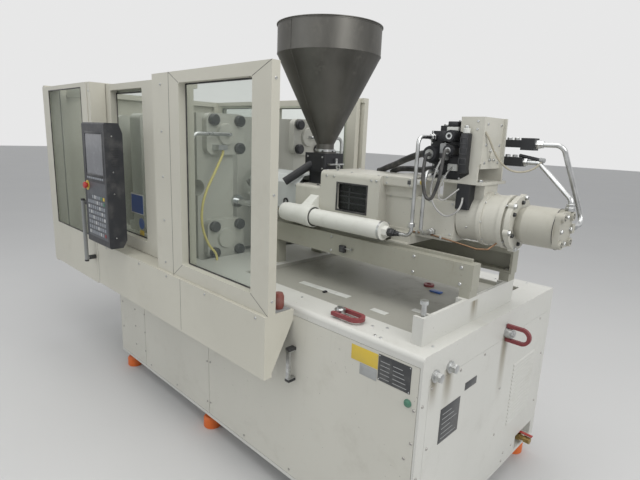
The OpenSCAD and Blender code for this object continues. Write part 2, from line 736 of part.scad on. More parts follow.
// Pull handle on stand-offs
pull_x = clamp_door_x1 - 16;
pull_z = [deck_h - 144, deck_h + 261];
pull_out = 55;
module clamp_door_handle() {
    color("#8d8f8e") at_axis() {
        bar_z(pull_z[0], pull_z[1], pull_x, -guard_front - pull_out, 24);
        for (z = [pull_z[0] + 22, pull_z[1] - 22])
            bar_y(-guard_front - pull_out, -guard_front, pull_x, z, 22);
    }
}

rear_door_x = [rear_split_x - 40, rear_x1 - 30];
rear_door_win_x = [-740, -20];
rear_door_win_z = [deck_h + 61, guard_h - 62];
module rear_door() {
    color(paint) at_axis() {
        window_frame(rear_door_x, [sill_h - 30, guard_h - 6], rear_door_win_x, rear_door_win_z,
            rear_door_y, rear_door_y + frame_t);
    }
}

module rear_door_pane() {
    color("#b8ccca", 0.35) at_axis()
        window_pane(rear_door_win_x, rear_door_win_z, rear_door_y - pane_t, rear_door_y);
}

// Arm that holds the console in front of the guard
module console_bracket() {
    color(paint_grey) at_axis() {
        block([left_post_x[1], console_y0 + console_t, keys_top - 60], [console_x + 120, console_y0 + console_t + 36, keys_top + 60]);
        block([left_post_x[1], console_y0 + console_t, keys_top - 90], [left_post_x[1] + 8, door_y - 20, keys_top + 90]);
    }
}

module console_housing() {
    color("#3a3d42") at_axis()
        difference() {
            prism_x(console_x, console_x + console_w)
                polygon([[console_y0 + 8, console_low], [console_y0 + console_t - 25, console_low],
                    [console_y0 + console_t, console_low + 40], [console_y0 + console_t, console_top - 53],
                    [console_y0 + console_t - 20, console_top], [console_y0 + 8, console_top],
                    [console_y0, console_top - 8], [console_y0, console_low + 8]]);
            // shallow wells for the screen and the key sheet
            block([console_x + 24, console_y0 - 1, keys_top + 24], [console_x + console_w - 24, console_y0 + 6, console_top - 48]);
            block([console_x + 18, console_y0 - 1, console_low + 40], [console_x + console_w - 18, console_y0 + 3, keys_top - 8]);
            bar_y(console_y0 - 1, console_y0 + stop_shaft + stop_travel + 4, stop_x, stop_z, stop_shaft_d + 2 * run_fit);
        }
}

stop_x = console_x + 38;
stop_z = keys_top - 34;
module console_screen() {
    color("#20252c") at_axis()
        block([console_x + 24, console_y0 + 2, keys_top + 24], [console_x + console_w - 24, console_y0 + 6, console_top - 48]);
}

module console_keypad() {
    color("#2c2f35") at_axis()
        difference() {
            union() {
                block([console_x + 18, console_y0 + 1, console_low + 40], [console_x + console_w - 18, console_y0 + 3, keys_top - 8]);
                for (i = [0:7], k = [0:7])
                    block([console_x + 36 + i * 31, console_y0, console_low + 56 + k * 30],
                        [console_x + 36 + i * 31 + 22, console_y0 + 1 + eps, console_low + 56 + k * 30 + 20]);
            }
            bar_y(console_y0 - 1, console_y0 + 4, stop_x, stop_z, stop_shaft_d + 8);
        }
}

module stop_button() {
    color("#c22a22") at_axis()
        translate([stop_x, console_y0, stop_z]) rotate([90, 0, 0]) rotate_extrude()
            polygon([[0, -stop_shaft], [stop_shaft_d / 2, -stop_shaft], [stop_shaft_d / 2, stop_travel + 1],
                [16, stop_travel + 1], [19, stop_travel + 5], [19, stop_out - 4], [15, stop_out], [0, stop_out]]);
}

// Fixed platen: four hollowed columns round a barrel hole, ribbed top to bottom
module fixed_platen() {
    color(paint) at_axis()
        difference() {
            prism_x(fixed_back_x, fixed_x) difference() {
                translate([-platen_w / 2, platen_z0]) square([platen_w, platen_h]);
                for (s = [-1, 1])
                    translate([s * (platen_w / 2), axis_h]) circle(d = 90);
            }
            // slanted inner flanks of the two columns
            prism_z(platen_z0 - 1, platen_z1 + 1)
                polygon([[fixed_x + 1, -240], [fixed_x + 1, 240], [fixed_x - 110, 130], [fixed_x - 110, -130]]);
            for (y = [-tie_y, tie_y], z = [-tie_z, tie_z])
                bar_x(fixed_back_x - 1, fixed_x + 1, y, axis_h + z, tie_d);
            bar_x(fixed_back_x - 1, fixed_x + 1, 0, axis_h, nozzle_hole_d);
            // relief under the platen between its feet
            block([fixed_back_x - 1, -pit_y + 90, platen_z0 - 1], [fixed_x + 1, pit_y - 90, platen_z0 + 20]);
        }
}

// Hydraulic heads on the platen's corners
module corner_heads() {
    color(paint) at_axis()
        for (y = [-tie_y, tie_y], z = [axis_h - tie_z, axis_h + tie_z])
            translate([fixed_x, y, z]) {
                difference() {
                    prism_x(0, head_t) round_rect([-head_w / 2, -head_w / 2 + 12], [head_w / 2, head_w / 2 - 12], 40);
                    bar_x(-1, 12, 0, 0, tie_d + 30);
                }
                turned_x(head_t - eps, 0, 0, [[0, 0], [62, 0], [56, 16], [0, 16]]);
            }
}

module cap_knobs() {
    color(black) at_axis()
        for (y = [-tie_y, tie_y], z = [axis_h - tie_z, axis_h + tie_z], a = [-1, 1], b = [-1, 1])
            if (!(y < 0 && z > axis_h && a < 0 && b < 0)) turned_x(head_face_x, y + a * cap_pitch * 0.85, z + b * cap_pitch_z * 0.85,
                [[0, 0], [cap_d / 2 - 3, 0], [cap_d / 2, 5], [cap_d / 2, 26], [cap_d / 2 - 6, 32], [0, 32]]);
}

// Steel feed pipes of the upper heads
head_face_x = fixed_x + head_t;
feed_x = head_face_x + 70;
feed_y = platen_w / 2 + 95;
feed_d = 20;
feed_bend = 36;
elbow_y = [-410, -352];
elbow_h = 28;
module platen_pipes() {
    color(steel) at_axis() {
        for (s = [-1, 1])
            bent_pipe([[head_face_x + 16, s * tie_y, axis_h + tie_z], [feed_x, s * tie_y, axis_h + tie_z],
                [feed_x, s * feed_y, axis_h + tie_z], [feed_x, s * feed_y, deck_h]], feed_d, feed_bend);
        // elbow fitting that the lubrication hose leaves
        block([head_face_x, elbow_y[0], yellow_route[0][2]],
            [head_face_x + 62, elbow_y[1], yellow_route[0][2] + elbow_h]);
    }
}

module tie_bars() {
    color(steel) at_axis()
        for (y = [-tie_y, tie_y], z = [axis_h - tie_z, axis_h + tie_z]) {
            bar_x(tie_end_x, fixed_x + 10, y, z, tie_d);
            difference() {
                bar_x(tie_end_x + 20, end_plate_back_x, y, z, tie_d + 50);
                bar_x(tie_end_x + 19, end_plate_back_x + 1, y, z, tie_d - 1);
            }
        }
}

module clamp_end_plate() {
    color(paint) at_axis()
        difference() {
            prism_x(end_plate_back_x, end_plate_x)
                round_rect([-platen_w / 2 + 20, deck_h + rail_h], [platen_w / 2 - 20, platen_z1 - 10], 50);
            for (y = [-tie_y, tie_y], z = [-tie_z, tie_z])
                bar_x(end_plate_back_x - 1, end_plate_x + 1, y, axis_h + z, tie_d);
            bar_x(end_plate_back_x - 1, end_plate_x + 1, 0, axis_h, ram_d + 2 * run_fit);
        }
}

module clamp_cylinder() {
    color(paint) at_axis()
        difference() {
            turned_x(end_plate_back_x - clamp_cyl_l, 0, axis_h, [[0, 0], [ram_d / 2 + 30, 0], [ram_d / 2 + 50, 20],
                [ram_d / 2 + 50, clamp_cyl_l - 50], [ram_d / 2 + 90, clamp_cyl_l - 40], [ram_d / 2 + 90, clamp_cyl_l], [0, clamp_cyl_l]]);
            bar_x(end_plate_back_x - clamp_cyl_l + 25, end_plate_back_x + 1, 0, axis_h, ram_d + 2 * run_fit);
        }
}

module moving_platen() {
    color(paint) at_axis()
        difference() {
            union() {
                prism_x(moving_back_x, moving_x)
                    round_rect([-platen_w / 2, deck_h + rail_h + 20], [platen_w / 2, platen_z1], 40);
                // shoes that ride on the bed rails
                for (s = [-1, 1])
                    mirror([0, s < 0 ? 1 : 0, 0])
                        block([moving_back_x - 60, bed_y[0], deck_h + rail_h + 0.3], [moving_x - 20, platen_w / 2, deck_h + rail_h + 60]);
            }
            for (y = [-tie_y, tie_y], z = [-tie_z, tie_z])
                bar_x(moving_back_x - 1, moving_x + 1, y, axis_h + z, tie_d + 2 * run_fit);
            for (z = [-ejector_y, ejector_y])
                bar_x(moving_back_x - 1, moving_x + 1, 0, axis_h + z, ejector_d + 2 * run_fit);
            // pockets between the ribs on the back
            for (s = [-1, 1])
                translate([moving_back_x - 1, 0, 0]) prism_x(0, moving_t - 60)
                    round_rect_centred(s * 245, axis_h, 110, 220, 20);
        }
}

module round_rect_centred(y, z, w, h, r) {
    round_rect([y - w / 2, z - h / 2], [y + w / 2, z + h / 2], r);
}

module clamp_ram() {
    color(steel) at_axis() bar_x(ram_end_x, moving_back_x, 0, axis_h, ram_d);
}

// Ejector yoke round the ram, with two pins through the platen
yoke_y = 132;
module ejector() {
    color("#8d8f8e") at_axis() {
        difference() {
            prism_x(moving_back_x - 100, moving_back_x - 78)
                round_rect([-yoke_y, axis_h - ejector_y - 40], [yoke_y, axis_h + ejector_y + 40], 40);
            bar_x(moving_back_x - 101, moving_back_x - 77, 0, axis_h, ram_d + 4);
        }
        for (z = [-ejector_y, ejector_y])
            bar_x(moving_back_x - 79, moving_x - 6, 0, axis_h + z, ejector_d);
    }
}

// Chrome rods that the carriage cylinders pull along
module cylinder_rods() {
    color(steel) at_axis()
        for (s = [-1, 1]) {
            bar_x(fixed_x, piston_x[0] + eps, s * cylinder_y, cyl_z, rod_d);
            bar_x(piston_x[0], piston_x[1], s * cylinder_y, cyl_z, piston_d);
            bar_x(fixed_x, fixed_x + 18, s * cylinder_y, cyl_z, rod_d + 36);
        }
}

module carriage_housing() {
    color(paint) at_axis()
        difference() {
            union() {
                // step block that clamps the barrel under the hopper
                prism_x(throat_x[0], throat_x[1] + eps)
                    round_rect([-carriage_y, axis_h - 90], [carriage_y, axis_h + 57], 16);
                prism_x(frame_x[0], frame_x[1])
                    round_rect([-carriage_y, beam_z[1] + 30], [carriage_y, carriage_top], 24);
                // low box towards the drive, with a ledge and the raised cover on its neck
                prism_x(frame_x[1] - eps, side_x1) round_rect([-rear_y, rear_z[0]], [rear_y, rear_z[1]], 12);
                block([frame_x[1] - eps, -rear_y - 12, rear_z[0] - 8], [side_x1, rear_y + 12, rear_z[0] + 12]);
                block([frame_x[1] - eps, -rear_y - 8, rear_z[1] - 12], [cover_x1, rear_y + 8, cover_low]);
                prism_x(frame_x[1] - eps, cover_x1)
                    round_rect([-carriage_y + 25, cover_low - eps], [carriage_y - 25, carriage_top + 6], 8);
                // shoes on the slide rails, tied across under the low box
                for (s = [0, 1], x = shoe_x)
                    mirror([0, s, 0]) {
                        block([x, rail_y - 30, rail_top + shoe_gap], [x + shoe_l, rail_y - 7, beam_z[1] + 60]);
                        block([x, rail_y - 30, rail_top + shoe_gap], [x + shoe_l, rail_y + rail_w, rail_top + shoe_gap + 6]);
                    }
                block([shoe_x[1], -rail_y + 7, rail_top + shoe_gap], [shoe_x[1] + shoe_l, rail_y - 7, rear_z[0]]);
            }
            // inner room, closed on both sides by the sight windows
            block([frame_x[0] + 30, -carriage_y + 20, beam_z[1] + 60], [frame_x[1] - 30, carriage_y - 20, carriage_top - 20]);
            for (s = [0, 1])
                mirror([0, s, 0]) prism_y(-carriage_y - 1, -carriage_y + 21)
                    round_rect([window_x[0], window_z[0]], [window_x[1], window_z[1]], 22);
            bar_x(throat_x[0] - 1, throat_x[1] + 1, 0, axis_h, barrel_d);
            bar_x(throat_x[1], side_x1 + 1, 0, axis_h, screw_d + 30);
            bar_z(axis_h, axis_h + 60, hopper_x, 0, 60);
        }
}

window_x = [658, 858];
window_z = [axis_h - 51, axis_h + 92];
module sight_window() {
    color("#3b4146", 0.6) at_axis()
        for (s = [0, 1])
            mirror([0, s, 0])
                block([window_x[0] - 12, -carriage_y + 20, window_z[0] - 12], [window_x[1] + 12, -carriage_y + 26, window_z[1] + 12]);
}

nozzle_x = -262;
barrel_x0 = -150;
module barrel() {
    color("#8a8782") at_axis()
        difference() {
            turned_x(nozzle_x, 0, axis_h, [[0, 0], [12, 0], [30, 36], [30, barrel_x0 - nozzle_x], [barrel_d / 2, barrel_x0 - nozzle_x + 12],
                [barrel_d / 2, throat_x[1] - nozzle_x], [0, throat_x[1] - nozzle_x]]);
            bar_x(barrel_x0 + 20, throat_x[1] + 1, 0, axis_h, screw_d + 2 * run_fit);
            bar_x(nozzle_x - 1, barrel_x0 + 21, 0, axis_h, 8);
            bar_z(axis_h, axis_h + barrel_d, hopper_x, 0, 50);
        }
}

band_x = [-30, 70, 170, 270];
module heater_bands() {
    color("#6f7072") at_axis()
        for (x = band_x)
            difference() {
                bar_x(x, x + 70, 0, axis_h, barrel_d + 14);
                bar_x(x - 1, x + 71, 0, axis_h, barrel_d);
            }
}

cover_half = 135;
barrel_cover_x = [-60, throat_x[0]];
module barrel_cover() {
    color("#dfe6e8") at_axis()
        difference() {
            prism_x(barrel_cover_x[0], barrel_cover_x[1])
                polygon([[-cover_half, axis_h - 90], [-cover_half, axis_h + 50], [-cover_half + 45, axis_h + 95],
                    [cover_half - 45, axis_h + 95], [cover_half, axis_h + 50], [cover_half, axis_h - 90]]);
            prism_x(barrel_cover_x[0] - 1, barrel_cover_x[1] + 1)
                polygon([[-cover_half + 3, axis_h - 91], [-cover_half + 3, axis_h + 48.8], [-cover_half + 46.2, axis_h + 92],
                    [cover_half - 46.2, axis_h + 92], [cover_half - 3, axis_h + 48.8], [cover_half - 3, axis_h - 91]]);
        }
}

// Hopper foot with its gate slot and the emptying spout
spout_d = 44;
spout_from = [hopper_x - 30, -50, axis_h + 168];
spout_to = [hopper_x - 125, -178, axis_h + 58];
slide_step = axis_h + 120;
module hopper_slide() {
    color(black) at_axis()
        difference() {
            union() {
                prism_z(axis_h + 57, slide_step) round_rect([hopper_x - 60, -60], [hopper_x + 60, 60], 10);
                prism_z(slide_step - eps, neck_z) round_rect([hopper_x - 82, -75], [hopper_x + 75, 75], 12);
                multmatrix(frame_of(spout_to - spout_from, spout_from))
                    cylinder(h = norm(spout_to - spout_from), d = spout_d);
            }
            bar_z(axis_h, neck_z + 1, hopper_x, 0, 60);
            block([hopper_x - 66, -56, gate_z], [hopper_x + 76, 56, gate_z + gate_t]);
            multmatrix(frame_of(spout_to - spout_from, spout_from))
                translate([0, 0, 60]) cylinder(h = norm(spout_to - spout_from), d = spout_d - 8);
        }
}

module hopper_gate() {
    color(steel) at_axis() {
        block([hopper_x - 60, -55.5, gate_z + 0.3], [hopper_x + 96, 55.5, gate_z + gate_t - 0.3]);
        bar_z(gate_z + 1, gate_z + 34, hopper_x + 88, 0, 14);
    }
}

module hopper() {
    color("#9a9b9a") at_axis()
        translate([hopper_x, 0, hopper_z0]) rotate_extrude($fn = 96)
            polygon([[hopper_neck_d / 2 - hopper_t, 0], [hopper_neck_d / 2 + 14, 0], [hopper_neck_d / 2 + 14, 8], [hopper_neck_d / 2, 8],
                [hopper_neck_d / 2, hopper_z1 - hopper_z0], [hopper_d / 2, hopper_z2 - hopper_z0],
                [hopper_d / 2, hopper_z3 - hopper_z0 - 6], [hopper_d / 2 + 5, hopper_z3 - hopper_z0 - 4],
                [hopper_d / 2 + 5, hopper_z3 - hopper_z0], [hopper_d / 2 - hopper_t, hopper_z3 - hopper_z0],
                [hopper_d / 2 - hopper_t, hopper_z2 - hopper_z0 + 1], [hopper_neck_d / 2 - hopper_t, hopper_z1 - hopper_z0 + 1]]);
}

module carriage_cylinders() {
    color(paint) at_axis()
        for (s = [0, 1])
            mirror([0, s, 0])
                difference() {
                    union() {
                        // cast nose that flares to a flange, open round the tube at its back
                        difference() {
                            turned_x(nose_x, -cylinder_y, cyl_z, [[0, 0], [38, 0], [46, 8], [cylinder_d / 2, 40],
                                [cylinder_d / 2, 110], [cylinder_d / 2 + 6, flange_x[0] - nose_x],
                                [cylinder_d / 2 + 6, flange_x[1] - nose_x], [0, flange_x[1] - nose_x]]);
                            bar_x(flange_x[1] - 16, flange_x[1] + 1, -cylinder_y, cyl_z, cylinder_d);
                        }
                        prism_x(flange_x[0] - 60, flange_x[0])
                            polygon([[-cylinder_y - 30, cyl_z + 30], [-carriage_y, cyl_z + 100],
                                [-carriage_y, cyl_z - 20], [-cylinder_y, cyl_z - 40]]);
                        bar_x(flange_x[0], body_x1, -cylinder_y, cyl_z, tube_d);
                        // saddle on the carriage, behind the tube
                        block([frame_x[1] - 55, -cylinder_y, cyl_z - 20], [frame_x[1] - 10, -carriage_y, cyl_z + 20]);
                        translate([body_x1 - eps, -cylinder_y, cyl_z]) rotate([0, 90, 0]) cylinder(h = 26, d = 50, $fn = 6);
                    }
                    bar_x(nose_x - 1, body_x1 - 20, -cylinder_y, cyl_z, rod_d + 2 * run_fit);
                    bar_x(flange_x[1] + 30, body_x1 - 16, -cylinder_y, cyl_z, piston_d + 2 * run_fit);
                }
}

// Drum of the injection cylinder with its three flanges
module injection_housing() {
    drum = housing_d / 2;
    color(paint) at_axis()
        difference() {
            union() {
                turned_x(side_x1, 0, axis_h, [[0, 0], [drum - 8, 0], [drum, 8], [drum, 100], [drum + 11, 100], [drum + 11, 118],
                    [drum + 4, 118], [drum + 4, 185], [drum + 9, 185], [drum + 9, 203], [drum - 6, 203], [drum - 6, 215],
                    [drum + 8, 215], [drum + 8, motor_x0 - side_x1], [0, motor_x0 - side_x1]]);
                // bolt lugs of the last flange
                for (a = [15:60:315])
                    bar_x(motor_x0 - 20, motor_x0, (drum + 5) * cos(a), axis_h + (drum + 5) * sin(a), 26);
                block([side_x1 + 5, -60, axis_h + 60], [side_x1 + 100, 60, bracket_z]);
            }
            bar_x(side_x1 - 1, motor_x0 + 1, 0, axis_h, screw_d + 30);
        }
}

boss_y = 50;
boss_d = 34;
module screw_motor() {
    color(paint) at_axis()
        difference() {
            union() {
                turned_x(motor_x0, 0, axis_h, [[0, 0], [motor_d / 2 - 18, 0], [motor_d / 2 - 4, 25], [motor_d / 2, 32],
                    [motor_d / 2, motor_end - cover_t - motor_x0], [0, motor_end - cover_t - motor_x0]]);
                // cover with its corner bosses and the side port
                prism_x(motor_end - cover_t - eps, motor_end - 10)
                    round_rect_centred(0, axis_h, motor_d - 20, motor_d - 20, 24);
                for (y = [-boss_y, boss_y], z = [-boss_y, boss_y])
                    bar_x(motor_end - cover_t, motor_end, y, axis_h + z, boss_d);
                block([motor_end - cover_t, motor_d / 2 - 22, axis_h - port_h / 2],
                    [motor_end - 2, motor_d / 2 + 6, axis_h + port_h / 2]);
            }
            bar_x(motor_x0 - 1, motor_x0 + 60, 0, axis_h, sleeve_d + 2 * run_fit);
        }
}

// Bracket that carries the valves: base plate, two gussets, side plate and lid
bracket_z = carriage_top;
bracket_x = [side_x1 - 142, side_x1 + 110];
bracket_top = bracket_z + 265;
gusset_x0 = bracket_x[1] - 106;
module valve_brackets() {
    color(paint) at_axis() {
        block([bracket_x[0], -110, bracket_z], [bracket_x[1], 110, bracket_z + 12]);
        block([side_x1 - 85, -60, rear_z[1]], [side_x1, 60, bracket_z + 1]);
        prism_y(-110, -100)
            polygon([[gusset_x0, bracket_z + 11], [gusset_x0 + 82, bracket_z + 11], [gusset_x0 + 82, bracket_z + 78],
                [gusset_x0 + 90, bracket_z + 84], [gusset_x0 + 90, bracket_top], [gusset_x0 - 9, bracket_top],
                [gusset_x0 - 9, bracket_z + 208], [gusset_x0 + 32, bracket_z + 196], [gusset_x0 + 41, bracket_z + 78],
                [gusset_x0 + 47, bracket_z + 41]]);
        prism_y(60, 70)
            polygon([[gusset_x0, bracket_z + 11], [bracket_x[1], bracket_z + 11], [bracket_x[1] - 4, bracket_top],
                [gusset_x0 - 9, bracket_top], [gusset_x0 - 9, bracket_z + 110]]);
        block([gusset_x0 + 82, -101, bracket_z + 64], [gusset_x0 + 90, 61, bracket_top]);
        block([gusset_x0 - 9, -101, bracket_top - 8], [gusset_x0 + 89, 61, bracket_top]);
    }
}

valve_z = bracket_z + 72;
solenoid_a = [bracket_x[0] + 27, -150, bracket_z + 112];
solenoid_b = [bracket_x[0] + 111, -150, bracket_z + 130];
port_y = 90;
port_z = [bracket_z + 96, bracket_z + 168];
module valve_stack() {
    color(black) at_axis() {
        // manifold and the valves stacked on it
        block([bracket_x[0] + 6, -84, bracket_z + 12], [bracket_x[0] + 140, -4, valve_z]);
        block([bracket_x[0] - 3, -94, valve_z - eps], [bracket_x[0] + 72, -14, bracket_z + 208]);
        block([bracket_x[0] + 89, -94, valve_z - eps], [bracket_x[0] + 133, -14, bracket_z + 227]);
        bar_x(bracket_x[0] - 38, bracket_x[0] - 2, -54, bracket_z + 110, 62);
        bar_z(bracket_z + 207, bracket_z + 230, bracket_x[0] + 44, -54, 52);
        bar_z(bracket_z + 226, bracket_z + 247, bracket_x[0] + 111, -54, 40);
        bar_y(solenoid_a[1], -93, solenoid_a[0], solenoid_a[2], 64);
        bar_y(solenoid_b[1], -93, solenoid_b[0], solenoid_b[2], 44);
        bar_y(solenoid_b[1], -93, solenoid_b[0], solenoid_b[2] + 58, 44);
        // distributor blocks on the rear gusset
        block([bracket_x[1] - 70, 70, port_z[1] - 15], [bracket_x[1] + 62, 110, port_z[1] + 15]);
        block([bracket_x[1] + 61, 66, port_z[1] - 24], [bracket_x[1] + 115, 114, port_z[1] + 24]);
        block([bracket_x[1] - 70, 70, port_z[0] - 18], [bracket_x[1] + 75, 110, port_z[0] + 18]);
        // post under the bracket, cut to the drum
        difference() {
            block([side_x1 + 5, -112, axis_h + 38], [side_x1 + 60, -60.5, bracket_z]);
            bar_x(side_x1, motor_x0, 0, axis_h, housing_d + 0.6);
        }
    }
}

// Hydraulic pipes of the carriage
pipe_d = 16;
pipe_bend = 30;
pipe_x = [side_x1 - 130, side_x1 - 100];
module steel_pipes() {
    color(steel) at_axis() {
        bent_pipe([[body_x1 + 26, -cylinder_y, cyl_z], [pipe_x[0], -cylinder_y, cyl_z], [pipe_x[0], -cylinder_y, bracket_z + 181],
            [pipe_x[0], -94, bracket_z + 181]], pipe_d, pipe_bend);
        bent_pipe([[pipe_x[1], -84, bracket_z + 42], [pipe_x[1], -190, bracket_z + 42], [pipe_x[1], -190, axis_h - 78],
            [pipe_x[1], -rear_y, axis_h - 78]], pipe_d, pipe_bend);
    }
}

// Slanted pipes from the distributor blocks to the motor
motor_pipe_d = 20;
motor_pipe_x = motor_end - 14;
module motor_pipes() {
    color(steel) at_axis() {
        tube_along(pipe_line([[bracket_x[1] + 115, port_y, port_z[1]], [motor_x0 + 92, port_y, port_z[1]],
            [motor_pipe_x, motor_d / 2 + 143, axis_h], [motor_pipe_x, motor_d / 2 + 6, axis_h]], 36, 8), motor_pipe_d, 16);
        tube_along(pipe_line([[bracket_x[1] + 75, port_y, port_z[0]], [motor_x0 + 10, port_y, port_z[0]],
            [motor_pipe_x - 4, boss_y - 4, axis_h + 110], [motor_pipe_x - 4, boss_y - 4, axis_h + motor_d / 2 - 10]],
            24, 8), motor_pipe_d, 16);
    }
}

screw_x = [-110, 1400];
flight_pitch = 50;
sleeve_d = 60;
sleeve_x = [1250, motor_x0 + 58];
// Sleeve that turns the screw and lets its shank slide through
module drive_sleeve() {
    color("#8a8782") at_axis()
        difference() {
            union() {
                bar_x(sleeve_x[0], sleeve_x[1], 0, axis_h, sleeve_d);
                bar_x(motor_x0 - 60, motor_x0 - 20, 0, axis_h, sleeve_d + 14);
            }
            bar_x(sleeve_x[0] - 1, sleeve_x[1] + 1, 0, axis_h, screw_d + 2 * run_fit);
        }
}

module screw() {
    color(steel) at_axis()
        turned_x(screw_x[0], 0, axis_h, screw_outline());
}

// Shank with shallow turned grooves along its feeding part
function screw_outline() = let (r = screw_d / 2, n = 10) concat([[0, 0], [6, 0], [r - 6, 26]],
    [for (i = [0:n - 1]) for (q = [[r, 30], [r, 38], [r - 6, 42], [r - 6, flight_pitch + 26]]) [q[0], q[1] + i * flight_pitch]],
    [[r, 30 + n * flight_pitch], [r, screw_x[1] - screw_x[0]], [0, screw_x[1] - screw_x[0]]]);

// Soft hoses, by points chosen along their routes
yellow_route = [[0, -370, 1552], [0, -375, 1525], [15, -430, 1440], [30, -500, 1330], [35, -530, 1230], [35, -525, 1130],
    [35, -490, 1040], [40, -450, 985], [40, -440, 944]];
module yellow_hoses() {
    color("#d9c24a", 0.8) at_axis() tube_along(smooth_path(yellow_route, 4), 14, 8);
}

loom_route = [[1170, -150, 1594], [1170, -175, 1580], [1190, -215, 1500], [1215, -225, 1430], [1245, -225, 1425], [1265, -215, 1500],
    [1254, -175, 1600], [1254, -150, 1612]];
module valve_loom() {
    color(black) at_axis() tube_along(smooth_path(loom_route, 4), 14, 8);
}

base_frame();
bed_beams();
levelling_feet();
front_panels();
end_cover();
plated_fittings();
drain_pipe();
drain_lever();
drip_tray();
end_crossbeam();
slide_beams();
guard_frame();
apron();
fixed_guard();
guard_panes();
rear_guard();
operator_door();
operator_door_pane();
clamp_door();
clamp_door_pane();
clamp_door_handle();
rear_door();
rear_door_pane();
lifting_ring_front();
lifting_ring_end();
console_bracket();
console_housing();
console_screen();
console_keypad();
stop_button();
fixed_platen();
corner_heads();
cap_knobs();
platen_pipes();
tie_bars();
clamp_end_plate();
clamp_cylinder();
moving_platen();
clamp_ram();
ejector();
cylinder_rods();
carriage_housing();
sight_window();
barrel();
heater_bands();
barrel_cover();
hopper_slide();
hopper_gate();
hopper();
carriage_cylinders();
injection_housing();
screw_motor();
valve_brackets();
valve_stack();
steel_pipes();
motor_pipes();
drive_sleeve();
screw();
yellow_hoses();
valve_loom();
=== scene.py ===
"""Looks of an injection moulding machine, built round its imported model.

Sizes are millimetres from the machine's own axis plane, which lies AXIS_SHIFT
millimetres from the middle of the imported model; +X points to the injection
motor, -Y to the operator and +Z up.
"""

import logging
import math
from collections.abc import Iterable, Sequence
from dataclasses import dataclass
from enum import Enum

import bmesh
import bpy
from mathutils import Matrix, Vector


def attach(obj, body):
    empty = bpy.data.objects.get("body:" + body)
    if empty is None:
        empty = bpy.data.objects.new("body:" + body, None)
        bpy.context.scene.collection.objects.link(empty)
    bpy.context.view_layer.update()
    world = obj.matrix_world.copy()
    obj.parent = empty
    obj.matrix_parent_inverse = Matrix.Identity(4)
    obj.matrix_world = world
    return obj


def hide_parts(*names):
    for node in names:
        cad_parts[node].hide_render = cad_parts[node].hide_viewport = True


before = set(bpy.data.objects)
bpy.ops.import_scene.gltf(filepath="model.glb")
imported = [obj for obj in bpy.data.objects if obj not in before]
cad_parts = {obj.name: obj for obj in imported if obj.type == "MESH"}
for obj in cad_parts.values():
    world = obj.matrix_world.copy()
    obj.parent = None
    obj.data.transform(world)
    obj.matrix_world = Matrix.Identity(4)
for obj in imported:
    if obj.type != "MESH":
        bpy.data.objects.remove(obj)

LOG = logging.getLogger("moulding_machine")
AXIS_SHIFT = 69.0
MM = 0.001
SMOOTH_BELOW = math.radians(32)
CORD_STEPS = 8
TO_FRAME = Matrix.Scale(MM, 4) @ Matrix.Translation((0, AXIS_SHIFT, 0))

Colour = tuple[float, float, float]
Pair = tuple[float, float]
Point = tuple[float, float, float]

TO_END: Point = (1, 0, 0)
TO_CLAMP: Point = (-1, 0, 0)
TO_REAR: Point = (0, 1, 0)
TO_OPERATOR: Point = (0, -1, 0)
UP: Point = (0, 0, 1)

# The Mix node's sockets for its factor, its two colours and its mixed colour
MIX_FACTOR, MIX_FIRST, MIX_SECOND, MIX_COLOUR = 0, 6, 7, 2


def at(point: Sequence[float]) -> Vector:
    """Turns a point in millimetres of the machine into metres of the frame."""
    return TO_FRAME @ Vector(point)


def round_x(middle: Point, radius: float, angle: float) -> Point:
    """Gives a point on a circle round an X axis.

    Args:
        middle: The circle's middle.
        radius: The circle's radius.
        angle: The point's angle in degrees, from +Y towards +Z.

    Returns:
        The point.
    """
    side = radius * math.cos(math.radians(angle))
    high = radius * math.sin(math.radians(angle))
    return (middle[0], middle[1] + side, middle[2] + high)


def stand(start: Point, along: Point) -> Matrix:
    """Gives the placement that stands an upright shape on a point.

    Args:
        start: The point.
        along: The direction that the shape then stands in.

    Returns:
        The placement.
    """
    turn = Vector(UP).rotation_difference(Vector(along)).to_matrix().to_4x4()
    return Matrix.Translation(start) @ turn


# Shader graph


class Channel:
    """One number in a shader, whose sums and products add Math nodes."""

    def __init__(self, graph: "Graph", socket: bpy.types.NodeSocket) -> None:
        """Keeps the socket and the graph it belongs to."""
        self.graph = graph
        self.socket = socket

    def __add__(self, other: "Channel | float") -> "Channel":
        """Adds a value."""
        return self.graph.math("ADD", self, other)

    def __radd__(self, other: float) -> "Channel":
        """Adds itself to a number."""
        return self.graph.math("ADD", other, self)

    def __sub__(self, other: "Channel | float") -> "Channel":
        """Takes a value away."""
        return self.graph.math("SUBTRACT", self, other)

    def __rsub__(self, other: float) -> "Channel":
        """Takes itself from a number."""
        return self.graph.math("SUBTRACT", other, self)

    def __mul__(self, other: "Channel | float") -> "Channel":
        """Multiplies by a value."""
        return self.graph.math("MULTIPLY", self, other)

    def __rmul__(self, other: float) -> "Channel":
        """Multiplies a number by itself."""
        return self.graph.math("MULTIPLY", other, self)

    def size(self) -> "Channel":
        """Drops the sign."""
        return self.graph.math("ABSOLUTE", self, 0.0)

    def largest(self, other: "Channel | float") -> "Channel":
        """Takes the larger of two values."""
        return self.graph.math("MAXIMUM", self, other)

    def between(self, low: float, high: float) -> "Channel":
        """Rises smoothly from 0 at low to 1 at high.

        Args:
            low: The value that gives 0.
            high: The value that gives 1; below low the mask falls instead.

        Returns:
            The mask.
        """
        flip = high < low
        mask = self.graph.node(
            "ShaderNodeMapRange",
            {"interpolation_type": "SMOOTHSTEP"},
            {"Value": self, "From Min": min(low, high), "From Max": max(low, high)},
        )
        return 1.0 - mask if flip else mask


